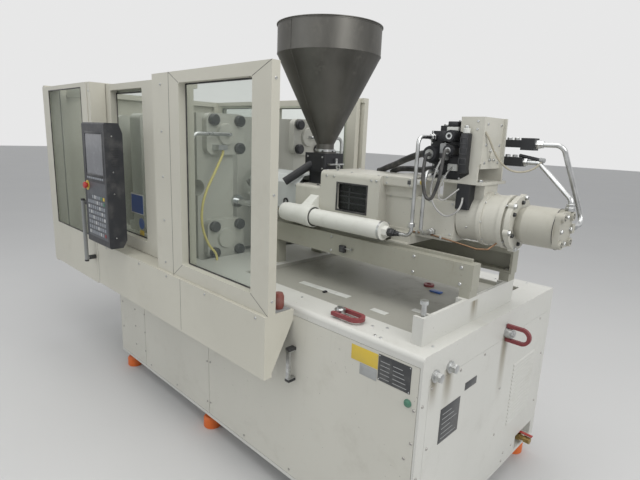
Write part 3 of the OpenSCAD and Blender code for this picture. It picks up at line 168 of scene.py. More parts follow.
class Graph:
    """A material's or the world's node tree, filled by one node-making method."""

    def __init__(self, owner: bpy.types.Material | bpy.types.World) -> None:
        """Takes over the owner's node tree and empties it."""
        owner.use_nodes = True
        self.owner = owner
        self.tree = owner.node_tree
        self.tree.nodes.clear()

    def node(
        self,
        kind: str,
        settings: dict[str, object] | None = None,
        inputs: dict[str | int, object] | None = None,
        output: str | int = 0,
    ) -> Channel:
        """Adds a node, sets it and links or fills its sockets.

        Args:
            kind: The node's type.
            settings: Its properties.
            inputs: Values or channels by the name or index of the socket.
            output: The name or index of the socket to give back.

        Returns:
            The chosen output as a channel.
        """
        made = self.tree.nodes.new(kind)
        for name, value in (settings or {}).items():
            setattr(made, name, value)
        for name, value in (inputs or {}).items():
            if isinstance(value, Channel):
                self.tree.links.new(value.socket, made.inputs[name])
            else:
                made.inputs[name].default_value = value
        return Channel(self, made.outputs[output] if len(made.outputs) else None)

    def math(self, operation: str, a: Channel | float, b: Channel | float) -> Channel:
        """Adds a Math node on two values."""
        return self.node("ShaderNodeMath", {"operation": operation}, {0: a, 1: b})

    def place(self, stretch: Point = (1, 1, 1), offset: Point = (0, 0, 0)) -> Channel:
        """Gives the object's own coordinates, stretched and moved."""
        raw = self.node("ShaderNodeTexCoord", output="Object")
        return self.node(
            "ShaderNodeMapping", {}, {"Vector": raw, "Scale": stretch, "Location": offset}
        )

    def noise(
        self,
        scale: float,
        detail: float = 2.0,
        stretch: Point = (1, 1, 1),
        offset: Point = (0, 0, 0),
        rough: float = 0.5,
    ) -> Channel:
        """Gives a cloudy value between about 0.3 and 0.7.

        Args:
            scale: Clouds per metre.
            detail: Octaves of finer clouds.
            stretch: How the coordinates are stretched first.
            offset: How they are moved, so that two clouds differ.
            rough: Strength of the finer octaves.

        Returns:
            The cloud's value.
        """
        return self.node(
            "ShaderNodeTexNoise",
            {},
            {
                "Vector": self.place(stretch, offset),
                "Scale": scale,
                "Detail": detail,
                "Roughness": rough,
            },
        )

    def axis(self, name: str) -> Channel:
        """Gives one of the object's own coordinates, in metres."""
        raw = self.node("ShaderNodeTexCoord", output="Object")
        return self.node("ShaderNodeSeparateXYZ", {}, {0: raw}, name)

    def blend(
        self, a: Channel | Colour, b: Channel | Colour, factor: Channel | float
    ) -> Channel:
        """Mixes two colours.

        Args:
            a: The colour where the factor is 0.
            b: The colour where the factor is 1.
            factor: The mask.

        Returns:
            The mixed colour.
        """

        def full(colour: Channel | Colour) -> object:
            """Adds the fourth number that a colour socket wants."""
            return colour if isinstance(colour, Channel) else (*colour, 1.0)

        return self.node(
            "ShaderNodeMix",
            {"data_type": "RGBA"},
            {MIX_FACTOR: factor, MIX_FIRST: full(a), MIX_SECOND: full(b)},
            MIX_COLOUR,
        )

    def bump(self, value: Channel, depth: float) -> Channel:
        """Turns a value into a bumped normal, depth in metres."""
        inputs = {"Height": value, "Distance": depth, "Strength": 1.0}
        return self.node("ShaderNodeBump", {}, inputs, "Normal")

    def close(
        self, shader: Channel, output: str = "ShaderNodeOutputMaterial"
    ) -> bpy.types.Material | bpy.types.World:
        """Links the surface to an output node and gives the tree's owner."""
        self.node(output, {}, {"Surface": shader})
        return self.owner


@dataclass(frozen=True)
class Finish:
    """What every finish has: a name, and a material that is made once."""

    name: str

    def build(self, graph: Graph) -> Channel:
        """Gives the surface shader."""
        raise NotImplementedError

    def material(self) -> bpy.types.Material:
        """Gives the finish's material, made on its first use.

        Returns:
            The material.
        """
        found = bpy.data.materials.get(self.name)
        if found:
            return found
        graph = Graph(bpy.data.materials.new(self.name))
        return graph.close(self.build(graph))


def surface(graph: Graph, **sockets: object) -> Channel:
    """Adds the surface shader, its sockets named with underscores for spaces."""
    named = {name.replace("_", " "): value for name, value in sockets.items()}
    return graph.node("ShaderNodeBsdfPrincipled", {}, named)


def shades(colour: Colour, dark: float, light: float) -> tuple[Colour, Colour]:
    """Gives a darker and a lighter shade of a colour."""
    return tuple(c * dark for c in colour), tuple(min(1.0, c * light) for c in colour)


@dataclass(frozen=True)
class Enamel(Finish):
    """Sprayed paint with orange peel, smudges, thin runs of oil and chipped spots."""

    colour: Colour = (0.60, 0.59, 0.53)
    grime: Colour = (0.24, 0.21, 0.15)
    dirt: float = 0.35
    streak: float = 0.3
    chips: float = 0.25
    gloss: float = 0.36
    bare: Colour = (0.08, 0.07, 0.06)
    leaks: tuple[Point, ...] = ()

    def build(self, graph: Graph) -> Channel:
        """Gives the painted surface.

        Args:
            graph: The material's graph.

        Returns:
            The surface shader.
        """
        tone = graph.noise(1.7, 2.0)
        cloud = graph.noise(7.0, 6.0, offset=(3, 1, 7), rough=0.68)
        runs = graph.noise(9.0, 5.0, stretch=(5, 5, 0.35), offset=(1, 5, 2), rough=0.62)
        speck = graph.noise(120.0, 2.0, offset=(9, 2, 4))
        patch = graph.noise(4.0, 2.0, offset=(4, 4, 1))
        smudge = cloud.between(0.50, 0.95) * self.dirt
        drip = runs.between(0.60, 0.86) * self.streak
        soil = smudge.largest(drip).largest(self._leak(graph, runs))
        base = graph.blend(*shades(self.colour, 0.97, 1.02), tone.between(0.35, 0.65))
        chip = speck.between(0.735, 0.75) * patch.between(0.48, 0.58) * self.chips
        peel = graph.noise(420.0, 1.0)
        dent = graph.noise(5.0, 1.0, offset=(8, 8, 8))
        return surface(
            graph,
            Base_Color=graph.blend(graph.blend(base, self.grime, soil), self.bare, chip),
            Roughness=self.gloss + 0.14 * cloud + 0.25 * soil + 0.2 * chip,
            Normal=graph.bump(peel + 6.0 * dent, 0.00018),
            Specular_IOR_Level=0.42,
        )

    def _leak(self, graph: Graph, runs: Channel) -> Channel | float:
        """Gives the runs of oil below leaking places.

        Args:
            graph: The material's graph.
            runs: The cloud that frays the runs.

        Returns:
            The mask of all runs, or 0 where nothing leaks.
        """
        wet: Channel | float = 0.0
        fray, reach, core, lip, strength = 0.05, 0.045, 0.004, 0.003, 0.92
        for across, top, length in self.leaks:
            side = (graph.axis("Y") - (across + AXIS_SHIFT) * MM).size()
            high = graph.axis("Z")
            fade = high.between((top - length) * MM, top * MM)
            run = (side + fray * (runs - 0.5)).between(reach, core) * fade
            run = run * high.between(top * MM + lip, top * MM) * runs.between(0.2, 0.5)
            wet = (strength * run).largest(wet)
        return wet


@dataclass(frozen=True)
class Metal(Finish):
    """Machined, rolled or plated metal with a grain, dull spots and stains."""

    colour: Colour = (0.55, 0.55, 0.55)
    stain: Colour = (0.16, 0.13, 0.10)
    gloss: float = 0.28
    grain: Point = (1, 1, 1)
    scale: float = 60.0
    stains: float = 0.3
    metallic: float = 1.0

    def build(self, graph: Graph) -> Channel:
        """Gives the metal surface.

        Args:
            graph: The material's graph.

        Returns:
            The surface shader.
        """
        brushed = graph.noise(self.scale, 3.0, stretch=self.grain)
        cloud = graph.noise(8.0, 4.0, offset=(5, 3, 2), rough=0.6)
        spots = graph.noise(38.0, 3.0, offset=(1, 8, 6), rough=0.65)
        stained = cloud.between(0.5, 0.72) * spots.between(0.42, 0.66) * self.stains
        base = graph.blend(*shades(self.colour, 0.82, 1.12), brushed.between(0.3, 0.7))
        return surface(
            graph,
            Base_Color=graph.blend(base, self.stain, stained),
            Metallic=self.metallic - 0.55 * stained,
            Roughness=self.gloss + 0.22 * (brushed - 0.5) + 0.12 * cloud + 0.35 * stained,
            Normal=graph.bump(brushed, 0.00012),
        )


@dataclass(frozen=True)
class Moulding(Finish):
    """Moulded plastic or rubber with fine grain, dust and rubbed spots."""

    colour: Colour = (0.03, 0.03, 0.032)
    dust: Colour = (0.30, 0.29, 0.27)
    gloss: float = 0.45
    grain: float = 900.0
    dusty: float = 0.25

    def build(self, graph: Graph) -> Channel:
        """Gives the moulded surface.

        Args:
            graph: The material's graph.

        Returns:
            The surface shader.
        """
        cloud = graph.noise(14.0, 4.0, offset=(2, 6, 3), rough=0.6)
        fine = graph.noise(self.grain, 1.0)
        worn = graph.noise(60.0, 3.0, offset=(7, 1, 5))
        dusted = cloud.between(0.45, 0.75) * self.dusty * (0.6 + 0.8 * worn)
        return surface(
            graph,
            Base_Color=graph.blend(self.colour, self.dust, dusted),
            Roughness=self.gloss + 0.2 * (worn - 0.5) + 0.3 * dusted,
            Normal=graph.bump(fine, 0.00008),
        )


@dataclass(frozen=True)
class Pane(Finish):
    """A clear window sheet that shows as a film of haze, scratches and gloss."""

    tint: Colour = (0.93, 0.95, 0.93)
    haze: float = 0.010
    glare: float = 0.22
    body: Colour = (0.34, 0.36, 0.35)

    def build(self, graph: Graph) -> Channel:
        """Gives the pane's surface.

        Args:
            graph: The material's graph.

        Returns:
            The film, mixed with what is seen through the pane.
        """
        wiped = graph.noise(5.0, 4.0, stretch=(1, 1, 2), offset=(2, 2, 9), rough=0.6)
        scratch = graph.noise(40.0, 2.0, stretch=(0.15, 0.15, 5), offset=(6, 2, 1))
        through = graph.node("ShaderNodeBsdfTransparent", {}, {"Color": (*self.tint, 1)})
        skin = surface(
            graph,
            Base_Color=(*self.body, 1.0),
            Roughness=0.04 + 0.08 * wiped,
            Specular_IOR_Level=0.5,
        )
        edge = graph.node("ShaderNodeLayerWeight", {}, {"Blend": 0.22}, "Fresnel")
        film = self.haze * (0.5 + wiped.between(0.45, 0.7)) + 0.02 * scratch.between(0.68, 0.75)
        return graph.node(
            "ShaderNodeMixShader", {}, {0: film + self.glare * edge, 1: through, 2: skin}
        )


# Finishes


class Paint(Enum):
    """The painted and metal finishes of the machine."""

    BASE = Enamel("paint_base", dirt=0.30, streak=0.18, chips=0.6)
    END = Enamel(
        "paint_end",
        (0.62, 0.62, 0.585),
        dirt=0.25,
        streak=0.15,
        chips=0.6,
        leaks=((57, 850, 380), (-526, 850, 150), (-424, 850, 210), (-160, 1030, 110)),
    )
    GUARD = Enamel("paint_guard", (0.58, 0.565, 0.49), dirt=0.18, streak=0.12, chips=0.2)
    UNIT = Enamel("paint_unit", (0.56, 0.55, 0.49), dirt=0.5, streak=0.3, chips=0.4)
    # MOTOR is a darker copy of the unit's paint (painted shade) and TUBES a lighter copy
    # (painted light); their dirt settings are real grime
    MOTOR = Enamel("paint_motor", (0.44, 0.43, 0.375), dirt=0.6, streak=0.4, chips=0.4)
    TUBES = Enamel("paint_cylinder", (0.72, 0.725, 0.68), dirt=0.3, streak=0.2, chips=0.3)
    PLATEN = Enamel("paint_platen", (0.52, 0.52, 0.47), dirt=0.5, streak=0.3, chips=0.3)
    COVER = Enamel("paint_cover", (0.63, 0.66, 0.65), dirt=0.2, streak=0.15, chips=0.1)
    BEAM = Enamel("paint_beam", (0.36, 0.355, 0.30), dirt=0.7, streak=0.7, chips=0.3)
    TRAY = Enamel("paint_tray", (0.36, 0.355, 0.315), (0.12, 0.11, 0.09), 0.7, 0.1, 0.4, 0.42)
    FOOT = Enamel("paint_foot", (0.74, 0.16, 0.03), (0.20, 0.09, 0.05), 0.4, 0.2, 0.3)
    RING = Enamel("paint_ring", (0.23, 0.05, 0.055), (0.09, 0.055, 0.05), 0.6, 0.1, 0.6)
    LEVER = Enamel("paint_lever", (0.42, 0.05, 0.04), dirt=0.3)
    GREY = Enamel("paint_grey_tube", (0.27, 0.28, 0.28), (0.10, 0.10, 0.09), 0.3, 0.1, 0.4)
    BLACK = Enamel("paint_black", (0.020, 0.021, 0.024), (0.09, 0.09, 0.08), 0.3, 0.1, 0.2)
    CHROME = Metal("hard_chrome", (0.62, 0.63, 0.64), gloss=0.10, scale=25, stains=0.25)
    PLATED = Metal("zinc_plate", (0.56, 0.57, 0.57), gloss=0.26, stains=0.3)
    TUBE = Metal("drawn_tube", (0.55, 0.56, 0.56), gloss=0.24, scale=18, stains=0.12)
    TOOL = Metal("tool_steel", (0.30, 0.29, 0.28), gloss=0.34, stains=0.5)
    HEATER = Metal("heater_sheet", (0.30, 0.30, 0.30), gloss=0.38, stains=0.4)
    HOPPER = Metal(
        "rolled_sheet", (0.135, 0.132, 0.122), (0.21, 0.20, 0.18), 0.42, (1, 1, 0.3), 10, 0.45
    )
    BRASS = Metal("brass", (0.42, 0.30, 0.12), gloss=0.34, stains=0.5)
    COPPER = Metal("copper_line", (0.30, 0.19, 0.12), gloss=0.45, stains=0.5)


class Stuff(Enum):
    """The plastics, rubbers and panes of the machine."""

    CONSOLE = Moulding("console_moulding", (0.028, 0.030, 0.036), gloss=0.42, dusty=0.15)
    KEYS = Moulding("key_sheet", (0.075, 0.082, 0.095), gloss=0.35, dusty=0.2)
    CAPS = Moulding("cap_moulding", (0.020, 0.021, 0.024), gloss=0.36, dusty=0.15)
    KNOB = Moulding("stop_knob", (0.45, 0.03, 0.03), gloss=0.28, dusty=0.1)
    RUBBER = Moulding("black_sheath", (0.018, 0.018, 0.019), gloss=0.5, dusty=0.3)
    HOSE = Moulding("yellow_hose", (0.60, 0.52, 0.24), (0.70, 0.68, 0.52), 0.24, 60.0, 0.35)
    GLASS = Pane("clear_pane")
    SMOKE = Pane("smoked_pane", (0.55, 0.56, 0.56), 0.16, 0.6, (0.10, 0.10, 0.10))
    GASKET = Moulding("window_gasket", (0.030, 0.030, 0.032), gloss=0.55, dusty=0.4)
    KEYCAP = Moulding("key_caps", (0.27, 0.29, 0.32), gloss=0.40, dusty=0.2)
    KEYLIGHT = Moulding("key_legend", (0.50, 0.51, 0.52), gloss=0.40, dusty=0.2)
    BEZEL = Moulding("screen_bezel", (0.022, 0.024, 0.028), gloss=0.35, dusty=0.2)
    BLUE = Moulding("blue_plastic", (0.03, 0.10, 0.35), gloss=0.35, dusty=0.15)
    GREEN = Moulding("green_plastic", (0.07, 0.19, 0.13), gloss=0.35, dusty=0.3)
    YELLOW = Moulding("yellow_plastic", (0.66, 0.48, 0.06), gloss=0.40, dusty=0.2)
    WHITE = Moulding("white_plastic", (0.66, 0.67, 0.64), (0.35, 0.33, 0.28), 0.40, 300.0, 0.3)
    PLUG = Moulding("grey_plug", (0.33, 0.34, 0.34), (0.16, 0.15, 0.13), 0.45, 400.0, 0.3)
    BUFFER = Moulding("brown_rubber", (0.22, 0.06, 0.045), gloss=0.55, dusty=0.3)
    LEAD = Moulding("silver_lead", (0.40, 0.40, 0.39), (0.12, 0.11, 0.10), 0.32, 200.0, 0.4)
    BEIGE = Moulding("beige_lead", (0.42, 0.39, 0.31), (0.14, 0.13, 0.11), 0.42, 200.0, 0.3)
    PLATE = Moulding("data_plate", (0.045, 0.047, 0.05), (0.22, 0.22, 0.21), 0.32, 150.0, 0.3)
    SHEET = Moulding("grey_plate", (0.36, 0.37, 0.37), (0.20, 0.19, 0.17), 0.34, 150.0, 0.3)
    SCREEN = Moulding("screen_face", (0.20, 0.205, 0.22), (0.34, 0.35, 0.37), 0.16, 12.0, 0.3)


NODE_FINISH: dict[Paint | Stuff, tuple[str, ...]] = {
    Paint.BASE: ("front_panels", "bed_beams"),
    Paint.END: ("base_frame", "end_cover", "end_crossbeam"),
    Paint.FOOT: ("levelling_feet",),
    Paint.PLATED: ("plated_fittings", "hopper_gate"),
    Paint.BRASS: ("drain_pipe",),
    Paint.LEVER: ("drain_lever",),
    Paint.TRAY: ("drip_tray",),
    Paint.BEAM: ("slide_beams",),
    Paint.GUARD: (
        *("guard_frame", "apron", "fixed_guard", "rear_guard"),
        *("operator_door", "clamp_door", "rear_door"),
    ),
    Stuff.GLASS: ("guard_panes", "operator_door_pane", "clamp_door_pane", "rear_door_pane"),
    Paint.GREY: ("clamp_door_handle", "console_bracket"),
    Paint.RING: ("lifting_ring_front", "lifting_ring_end"),
    Stuff.CONSOLE: ("console_housing",),
    Stuff.SCREEN: ("console_screen",),
    Stuff.KEYS: ("console_keypad",),
    Stuff.KNOB: ("stop_button",),
    Paint.PLATEN: (
        *("fixed_platen", "corner_heads", "clamp_end_plate"),
        *("clamp_cylinder", "moving_platen"),
    ),
    Stuff.CAPS: ("cap_knobs",),
    Paint.TUBE: ("platen_pipes", "steel_pipes", "motor_pipes"),
    Paint.CHROME: ("tie_bars", "clamp_ram", "cylinder_rods"),
    Paint.TOOL: ("ejector", "barrel", "screw", "drive_sleeve"),
    Paint.UNIT: ("carriage_housing", "injection_housing", "valve_brackets"),
    Paint.MOTOR: ("screw_motor",),
    Paint.TUBES: ("carriage_cylinders",),
    Stuff.SMOKE: ("sight_window",),
    Paint.HEATER: ("heater_bands",),
    Paint.COVER: ("barrel_cover",),
    Paint.BLACK: ("hopper_slide", "valve_stack"),
    Paint.HOPPER: ("hopper",),
    Stuff.HOSE: ("yellow_hoses",),
    Stuff.RUBBER: ("valve_loom",),
}


def dress_nodes() -> None:
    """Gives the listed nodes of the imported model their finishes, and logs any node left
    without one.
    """
    for finish, nodes in NODE_FINISH.items():
        for name in nodes:
            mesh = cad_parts[name].data
            mesh.materials.clear()
            mesh.materials.append(finish.value.material())
    bare = set(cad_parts) - {n for nodes in NODE_FINISH.values() for n in nodes}
    LOG.info("dressed the nodes; without a finish: %s", sorted(bare))


# Modelling


class Shape:
    """A mesh in the making, in millimetres of the machine."""

    def __init__(self) -> None:
        """Starts with nothing."""
        self.mesh = bmesh.new()
        self.finishes: list[Paint | Stuff] = []

    def _join(self, part: bmesh.types.BMesh, finish: Paint | Stuff, turn: Matrix) -> None:
        """Adds a made part in one finish.

        Args:
            part: The part, which is used up.
            finish: Its finish.
            turn: How it is turned and placed.
        """
        if finish not in self.finishes:
            self.finishes.append(finish)
        index = self.finishes.index(finish)
        for face in part.faces:
            face.material_index = index
            face.smooth = True
        part.transform(turn)
        if turn.determinant() < 0:
            bmesh.ops.reverse_faces(part, faces=part.faces)
        held = bpy.data.meshes.new("held")
        part.to_mesh(held)
        part.free()
        self.mesh.from_mesh(held)
        bpy.data.meshes.remove(held)

    def block(
        self,
        low: Point,
        high: Point,
        finish: Paint | Stuff,
        edge: float = 0.0,
        turn: Matrix = Matrix.Identity(4),
    ) -> "Shape":
        """Adds a box between two corners, its edges bevelled.

        Args:
            low: The lowest corner.
            high: The highest corner.
            finish: Its finish.
            edge: Width of the bevel.
            turn: How it is turned afterwards.

        Returns:
            The shape itself.
        """
        part = bmesh.new()
        size = Vector(high) - Vector(low)
        middle = (Vector(high) + Vector(low)) / 2
        bmesh.ops.create_cube(part, size=1.0)
        part.transform(Matrix.Translation(middle) @ Matrix.Diagonal((*size, 1)))
        if edge:
            bmesh.ops.bevel(
                part,
                geom=part.edges[:],
                offset=edge,
                segments=2,
                profile=0.5,
                affect="EDGES",
                material=-1,
                clamp_overlap=True,
            )
        self._join(part, finish, turn)
        return self

    def lathe(
        self,
        start: Point,
        along: Point,
        outline: Sequence[tuple[float, float]],
        finish: Paint | Stuff,
        sides: int = 32,
    ) -> "Shape":
        """Adds a turned body.

        Args:
            start: Where distance 0 of the outline lies.
            along: The direction of its axis.
            outline: Points of radius and distance, from one pole to the other.
            finish: Its finish.
            sides: Steps round the axis.

        Returns:
            The shape itself.
        """
        part = bmesh.new()
        points = [part.verts.new((radius, 0, far)) for radius, far in outline]
        lines = [part.edges.new(pair) for pair in zip(points, points[1:])]
        bmesh.ops.spin(
            part,
            geom=points + lines,
            cent=(0, 0, 0),
            axis=(0, 0, 1),
            angle=math.tau,
            steps=sides,
            use_merge=True,
        )
        bmesh.ops.remove_doubles(part, verts=part.verts, dist=1e-4)
        bmesh.ops.recalc_face_normals(part, faces=part.faces)
        self._join(part, finish, stand(start, along))
        return self

    def rod(
        self,
        start: Point,
        end: Point,
        radius: float,
        finish: Paint | Stuff,
        edge: float = 0.0,
        sides: int = 24,
    ) -> "Shape":
        """Adds a round bar between two points.

        Args:
            start: The middle of its first end.
            end: The middle of its other end.
            radius: Its radius.
            finish: Its finish.
            edge: Width of the chamfer at its ends.
            sides: Steps round it.

        Returns:
            The shape itself.
        """
        line = Vector(end) - Vector(start)
        far = line.length
        outline = [(0, 0), (radius - edge, 0), (radius, edge), (radius, far - edge)]
        outline += [(radius - edge, far), (0, far)]
        if not edge:
            outline = [(0, 0), (radius, 0), (radius, far), (0, far)]
        return self.lathe(start, line.normalized(), outline, finish, sides)

    def hexagon(
        self, start: Point, along: Point, across: float, tall: float, finish: Paint | Stuff
    ) -> "Shape":
        """Adds a hexagon head with a chamfered top.

        Args:
            start: The middle of its seat.
            along: The direction it stands in.
            across: Its width over the flats.
            tall: Its height.
            finish: Its finish.

        Returns:
            The shape itself.
        """
        part = bmesh.new()
        corner = across / math.sqrt(3)
        bmesh.ops.create_cone(
            part, cap_ends=True, segments=6, radius1=corner, radius2=corner, depth=tall
        )
        top = [e for e in part.edges if all(v.co.z > 0 for v in e.verts)]
        bmesh.ops.bevel(
            part,
            geom=top,
            offset=tall * 0.16,
            segments=1,
            profile=0.5,
            affect="EDGES",
            material=-1,
        )
        lift = Matrix.Translation((0, 0, tall / 2))
        self._join(part, finish, stand(start, along) @ lift)
        return self

    def nuts(
        self, start: Point, along: Point, sizes: Iterable[Pair], finish: Paint | Stuff
    ) -> "Shape":
        """Stacks hexagon nuts on one another.

        Args:
            start: The middle of the first nut's seat.
            along: The direction they stand in, one unit long.
            sizes: The width over the flats and the height of each nut.
            finish: Their finish.

        Returns:
            The shape itself.
        """
        seat = Vector(start)
        for across, tall in sizes:
            self.hexagon(seat, along, across, tall, finish)
            seat += tall * Vector(along)
        return self

    def washer(
        self,
        start: Point,
        along: Point,
        hole: float,
        radius: float,
        tall: float,
        finish: Paint | Stuff,
        sides: int = 32,
    ) -> "Shape":
        """Adds a flat ring round an axis."""
        outline = [(hole, 0), (radius, 0), (radius, tall), (hole, tall), (hole, 0)]
        return self.lathe(start, along, outline, finish, sides)

    def bend(
        self, points: Sequence[Point], radius: float, finish: Paint | Stuff, sides: int = 16
    ) -> "Shape":
        """Adds a rigid pipe along points, with round knees.

        Args:
            points: The corners of its centre line.
            radius: Its outer radius.
            finish: Its finish.
            sides: Steps round it.

        Returns:
            The shape itself.
        """
        for start, end in zip(points, points[1:]):
            self.rod(start, end, radius, finish, 0.0, sides)
        for knee in points[1:-1]:
            ball = bmesh.new()
            bmesh.ops.create_uvsphere(ball, u_segments=sides, v_segments=8, radius=radius)
            self._join(ball, finish, Matrix.Translation(knee))
        return self

    def window(
        self,
        x: tuple[float, float],
        z: tuple[float, float],
        y: tuple[float, float],
        width: float,
        finish: Paint | Stuff,
    ) -> "Shape":
        """Adds a flat frame in the X and Z plane, just inside an opening.

        Args:
            x: The opening's sides.
            z: Its lower and upper edge.
            y: The frame's faces.
            width: The frame's width.
            finish: Its finish.

        Returns:
            The shape itself.
        """
        for low in (x[0], x[1] - width):
            self.block((low, y[0], z[0]), (low + width, y[1], z[1]), finish, width * 0.2)
        for low in (z[0], z[1] - width):
            self.block(
                (x[0] + width, y[0], low), (x[1] - width, y[1], low + width), finish, width * 0.2
            )
        return self

    def bolts(
        self,
        middle: Point,
        radius: float,
        angles: Iterable[float],
        across: float,
        tall: float,
        finish: Paint | Stuff,
    ) -> "Shape":
        """Adds hexagon bolts on a circle round an X axis, heads towards +X.

        Args:
            middle: The circle's middle, on the face.
            radius: The circle's radius.
            angles: Where the bolts stand, in degrees from +Y.
            across: Width over the flats.
            tall: Height of a head.
            finish: Their finish.

        Returns:
            The shape itself.
        """
        for angle in angles:
            seat = round_x(middle, radius, angle)
            self.washer(seat, TO_END, 0.2, across * 0.62, 1.6, finish, 16)
            self.hexagon(seat, TO_END, across, tall, finish)
        return self

    def screws(
        self, places: Iterable[Point], along: Point, radius: float, finish: Paint | Stuff
    ) -> "Shape":
        """Adds small round heads with a sunk middle.

        Args:
            places: Where the heads sit.
            along: The direction they stand in.
            radius: The radius of a head.
            finish: Their finish.

        Returns:
            The shape itself.
        """
        tall = radius * 0.55
        sunk = tall * 0.35
        outline = [(0, sunk), (radius * 0.45, sunk), (radius * 0.5, tall)]
        outline += [(radius * 0.82, tall), (radius, tall * 0.5), (radius, 0), (0, 0)]
        for place in places:
            self.lathe(place, along, outline, finish, 12)
        return self

    def piece(self, name: str, body: str) -> bpy.types.Object:
        """Ends the modelling and hangs the piece on a body of the model.

        Args:
            name: The piece's name.
            body: The body that it rides on.

        Returns:
            The finished object.
        """
        self.mesh.transform(TO_FRAME)
        data = bpy.data.meshes.new(name)
        self.mesh.to_mesh(data)
        self.mesh.free()
        data.set_sharp_from_angle(angle=SMOOTH_BELOW)
        for finish in self.finishes:
            data.materials.append(finish.value.material())
        made = bpy.data.objects.new(name, data)
        bpy.context.scene.collection.objects.link(made)
        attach(made, body)
        LOG.info("%s rides on %s with %d faces", name, body, len(data.polygons))
        return made


# Studio


@dataclass(frozen=True)
class Viewpoint:
    """Where the photograph was taken from."""

    place: Point = (2245, -1895, 1650)
    yaw: float = math.radians(44.005)
    pitch: float = math.radians(12.408)
    roll: float = math.radians(-2.317)
    focal: float = 473.25
    width: float = 640.0
    sensor: float = 36.0

    def set_up(self) -> None:
        """Makes the camera."""
        right = Vector((math.cos(self.yaw), math.sin(self.yaw), 0))
        ahead = Vector(
            (
                -math.sin(self.yaw) * math.cos(self.pitch),
                math.cos(self.yaw) * math.cos(self.pitch),
                -math.sin(self.pitch),
            )
        )
        down = ahead.cross(right)
        across = math.cos(self.roll) * right + math.sin(self.roll) * down
        below = math.cos(self.roll) * down - math.sin(self.roll) * right
        lens = bpy.data.cameras.new("camera")
        lens.sensor_fit = "HORIZONTAL"
        lens.sensor_width = self.sensor
        lens.lens = self.focal / self.width * self.sensor
        lens.clip_start, lens.clip_end = 0.05, 200.0
        camera = bpy.data.objects.new("camera", lens)
        turn = Matrix((across, -below, -ahead)).transposed().to_4x4()
        camera.matrix_world = Matrix.Translation(at(self.place)) @ turn
        bpy.context.scene.collection.objects.link(camera)
        bpy.context.scene.camera = camera


@dataclass(frozen=True)
class Lamp:
    """A soft square lamp, placed in metres of the frame."""

    name: str
    place: Point
    target: Point
    size: float
    power: float
    colour: Colour

    def hang(self) -> None:
        """Hangs the lamp so that it looks at its target."""
        light = bpy.data.lights.new(self.name, "AREA")
        light.size, light.energy, light.color = self.size, self.power, self.colour
        lamp = bpy.data.objects.new(self.name, light)
        lamp.location = self.place
        ahead = Vector(self.target) - Vector(self.place)
        lamp.rotation_euler = ahead.to_track_quat("-Z", "Y").to_euler()
        bpy.context.scene.collection.objects.link(lamp)


@dataclass
class Studio:
    """The floor, the world and the soft lamps."""

    floor_reach: float = 40.0
    floor_tones: tuple[Colour, Colour] = ((0.62, 0.62, 0.62), (0.66, 0.66, 0.655))
    ambient: float = 0.50
    ambient_tone: Colour = (0.97, 0.985, 1.0)
    wall_tone: Colour = (0.80, 0.80, 0.80)
    lamps: tuple[Lamp, ...] = (
        Lamp("lamp_top", (0.6, -0.6, 5.6), (0.2, 0.0, 0.8), 5.0, 150.0, (1, 0.985, 0.96)),
        Lamp("lamp_end", (6.0, -1.2, 4.0), (1.0, 0.0, 0.9), 3.0, 120.0, (1, 0.99, 0.97)),
        Lamp("lamp_front", (-1.5, -5.5, 3.4), (0.0, 0.0, 1.0), 3.5, 40.0, (0.95, 0.98, 1)),
    )

    def build(self) -> None:
        """Makes the floor, the world and the lamps."""
        self._floor()
        self._world()
        for lamp in self.lamps:
            lamp.hang()

    def _floor(self) -> None:
        """Makes the plain pale floor."""
        part = bmesh.new()
        bmesh.ops.create_grid(part, x_segments=1, y_segments=1, size=self.floor_reach)
        data = bpy.data.meshes.new("floor")
        part.to_mesh(data)
        part.free()
        graph = Graph(bpy.data.materials.new("floor_grey"))
        colour = graph.blend(*self.floor_tones, graph.noise(0.8, 3.0))
        data.materials.append(graph.close(surface(graph, Base_Color=colour, Roughness=0.7)))
        floor = bpy.data.objects.new("floor", data)
        bpy.context.scene.collection.objects.link(floor)

    def _world(self) -> None:
        """Makes the world: soft light, and a pale wall where it is seen."""
        world = bpy.data.worlds.new("studio")
        bpy.context.scene.world = world
        graph = Graph(world)
        camera, glossy, through = (
            graph.node("ShaderNodeLightPath", output=ray)
            for ray in ("Is Camera Ray", "Is Glossy Ray", "Is Transmission Ray")
        )
        light = self._background(graph, self.ambient_tone, self.ambient)
        wall = self._background(graph, self.wall_tone, 1.0)
        seen = camera.largest(glossy.largest(through))
        mix = graph.node("ShaderNodeMixShader", {}, {0: seen, 1: light, 2: wall})
        graph.close(mix, "ShaderNodeOutputWorld")
        bpy.context.scene.view_settings.view_transform = "Standard"

    @staticmethod
    def _background(graph: Graph, tone: Colour, strength: float) -> Channel:
        """Adds a background of one tone to the world."""
        inputs = {"Color": (*tone, 1.0), "Strength": strength}
        return graph.node("ShaderNodeBackground", {}, inputs)


# Base housing


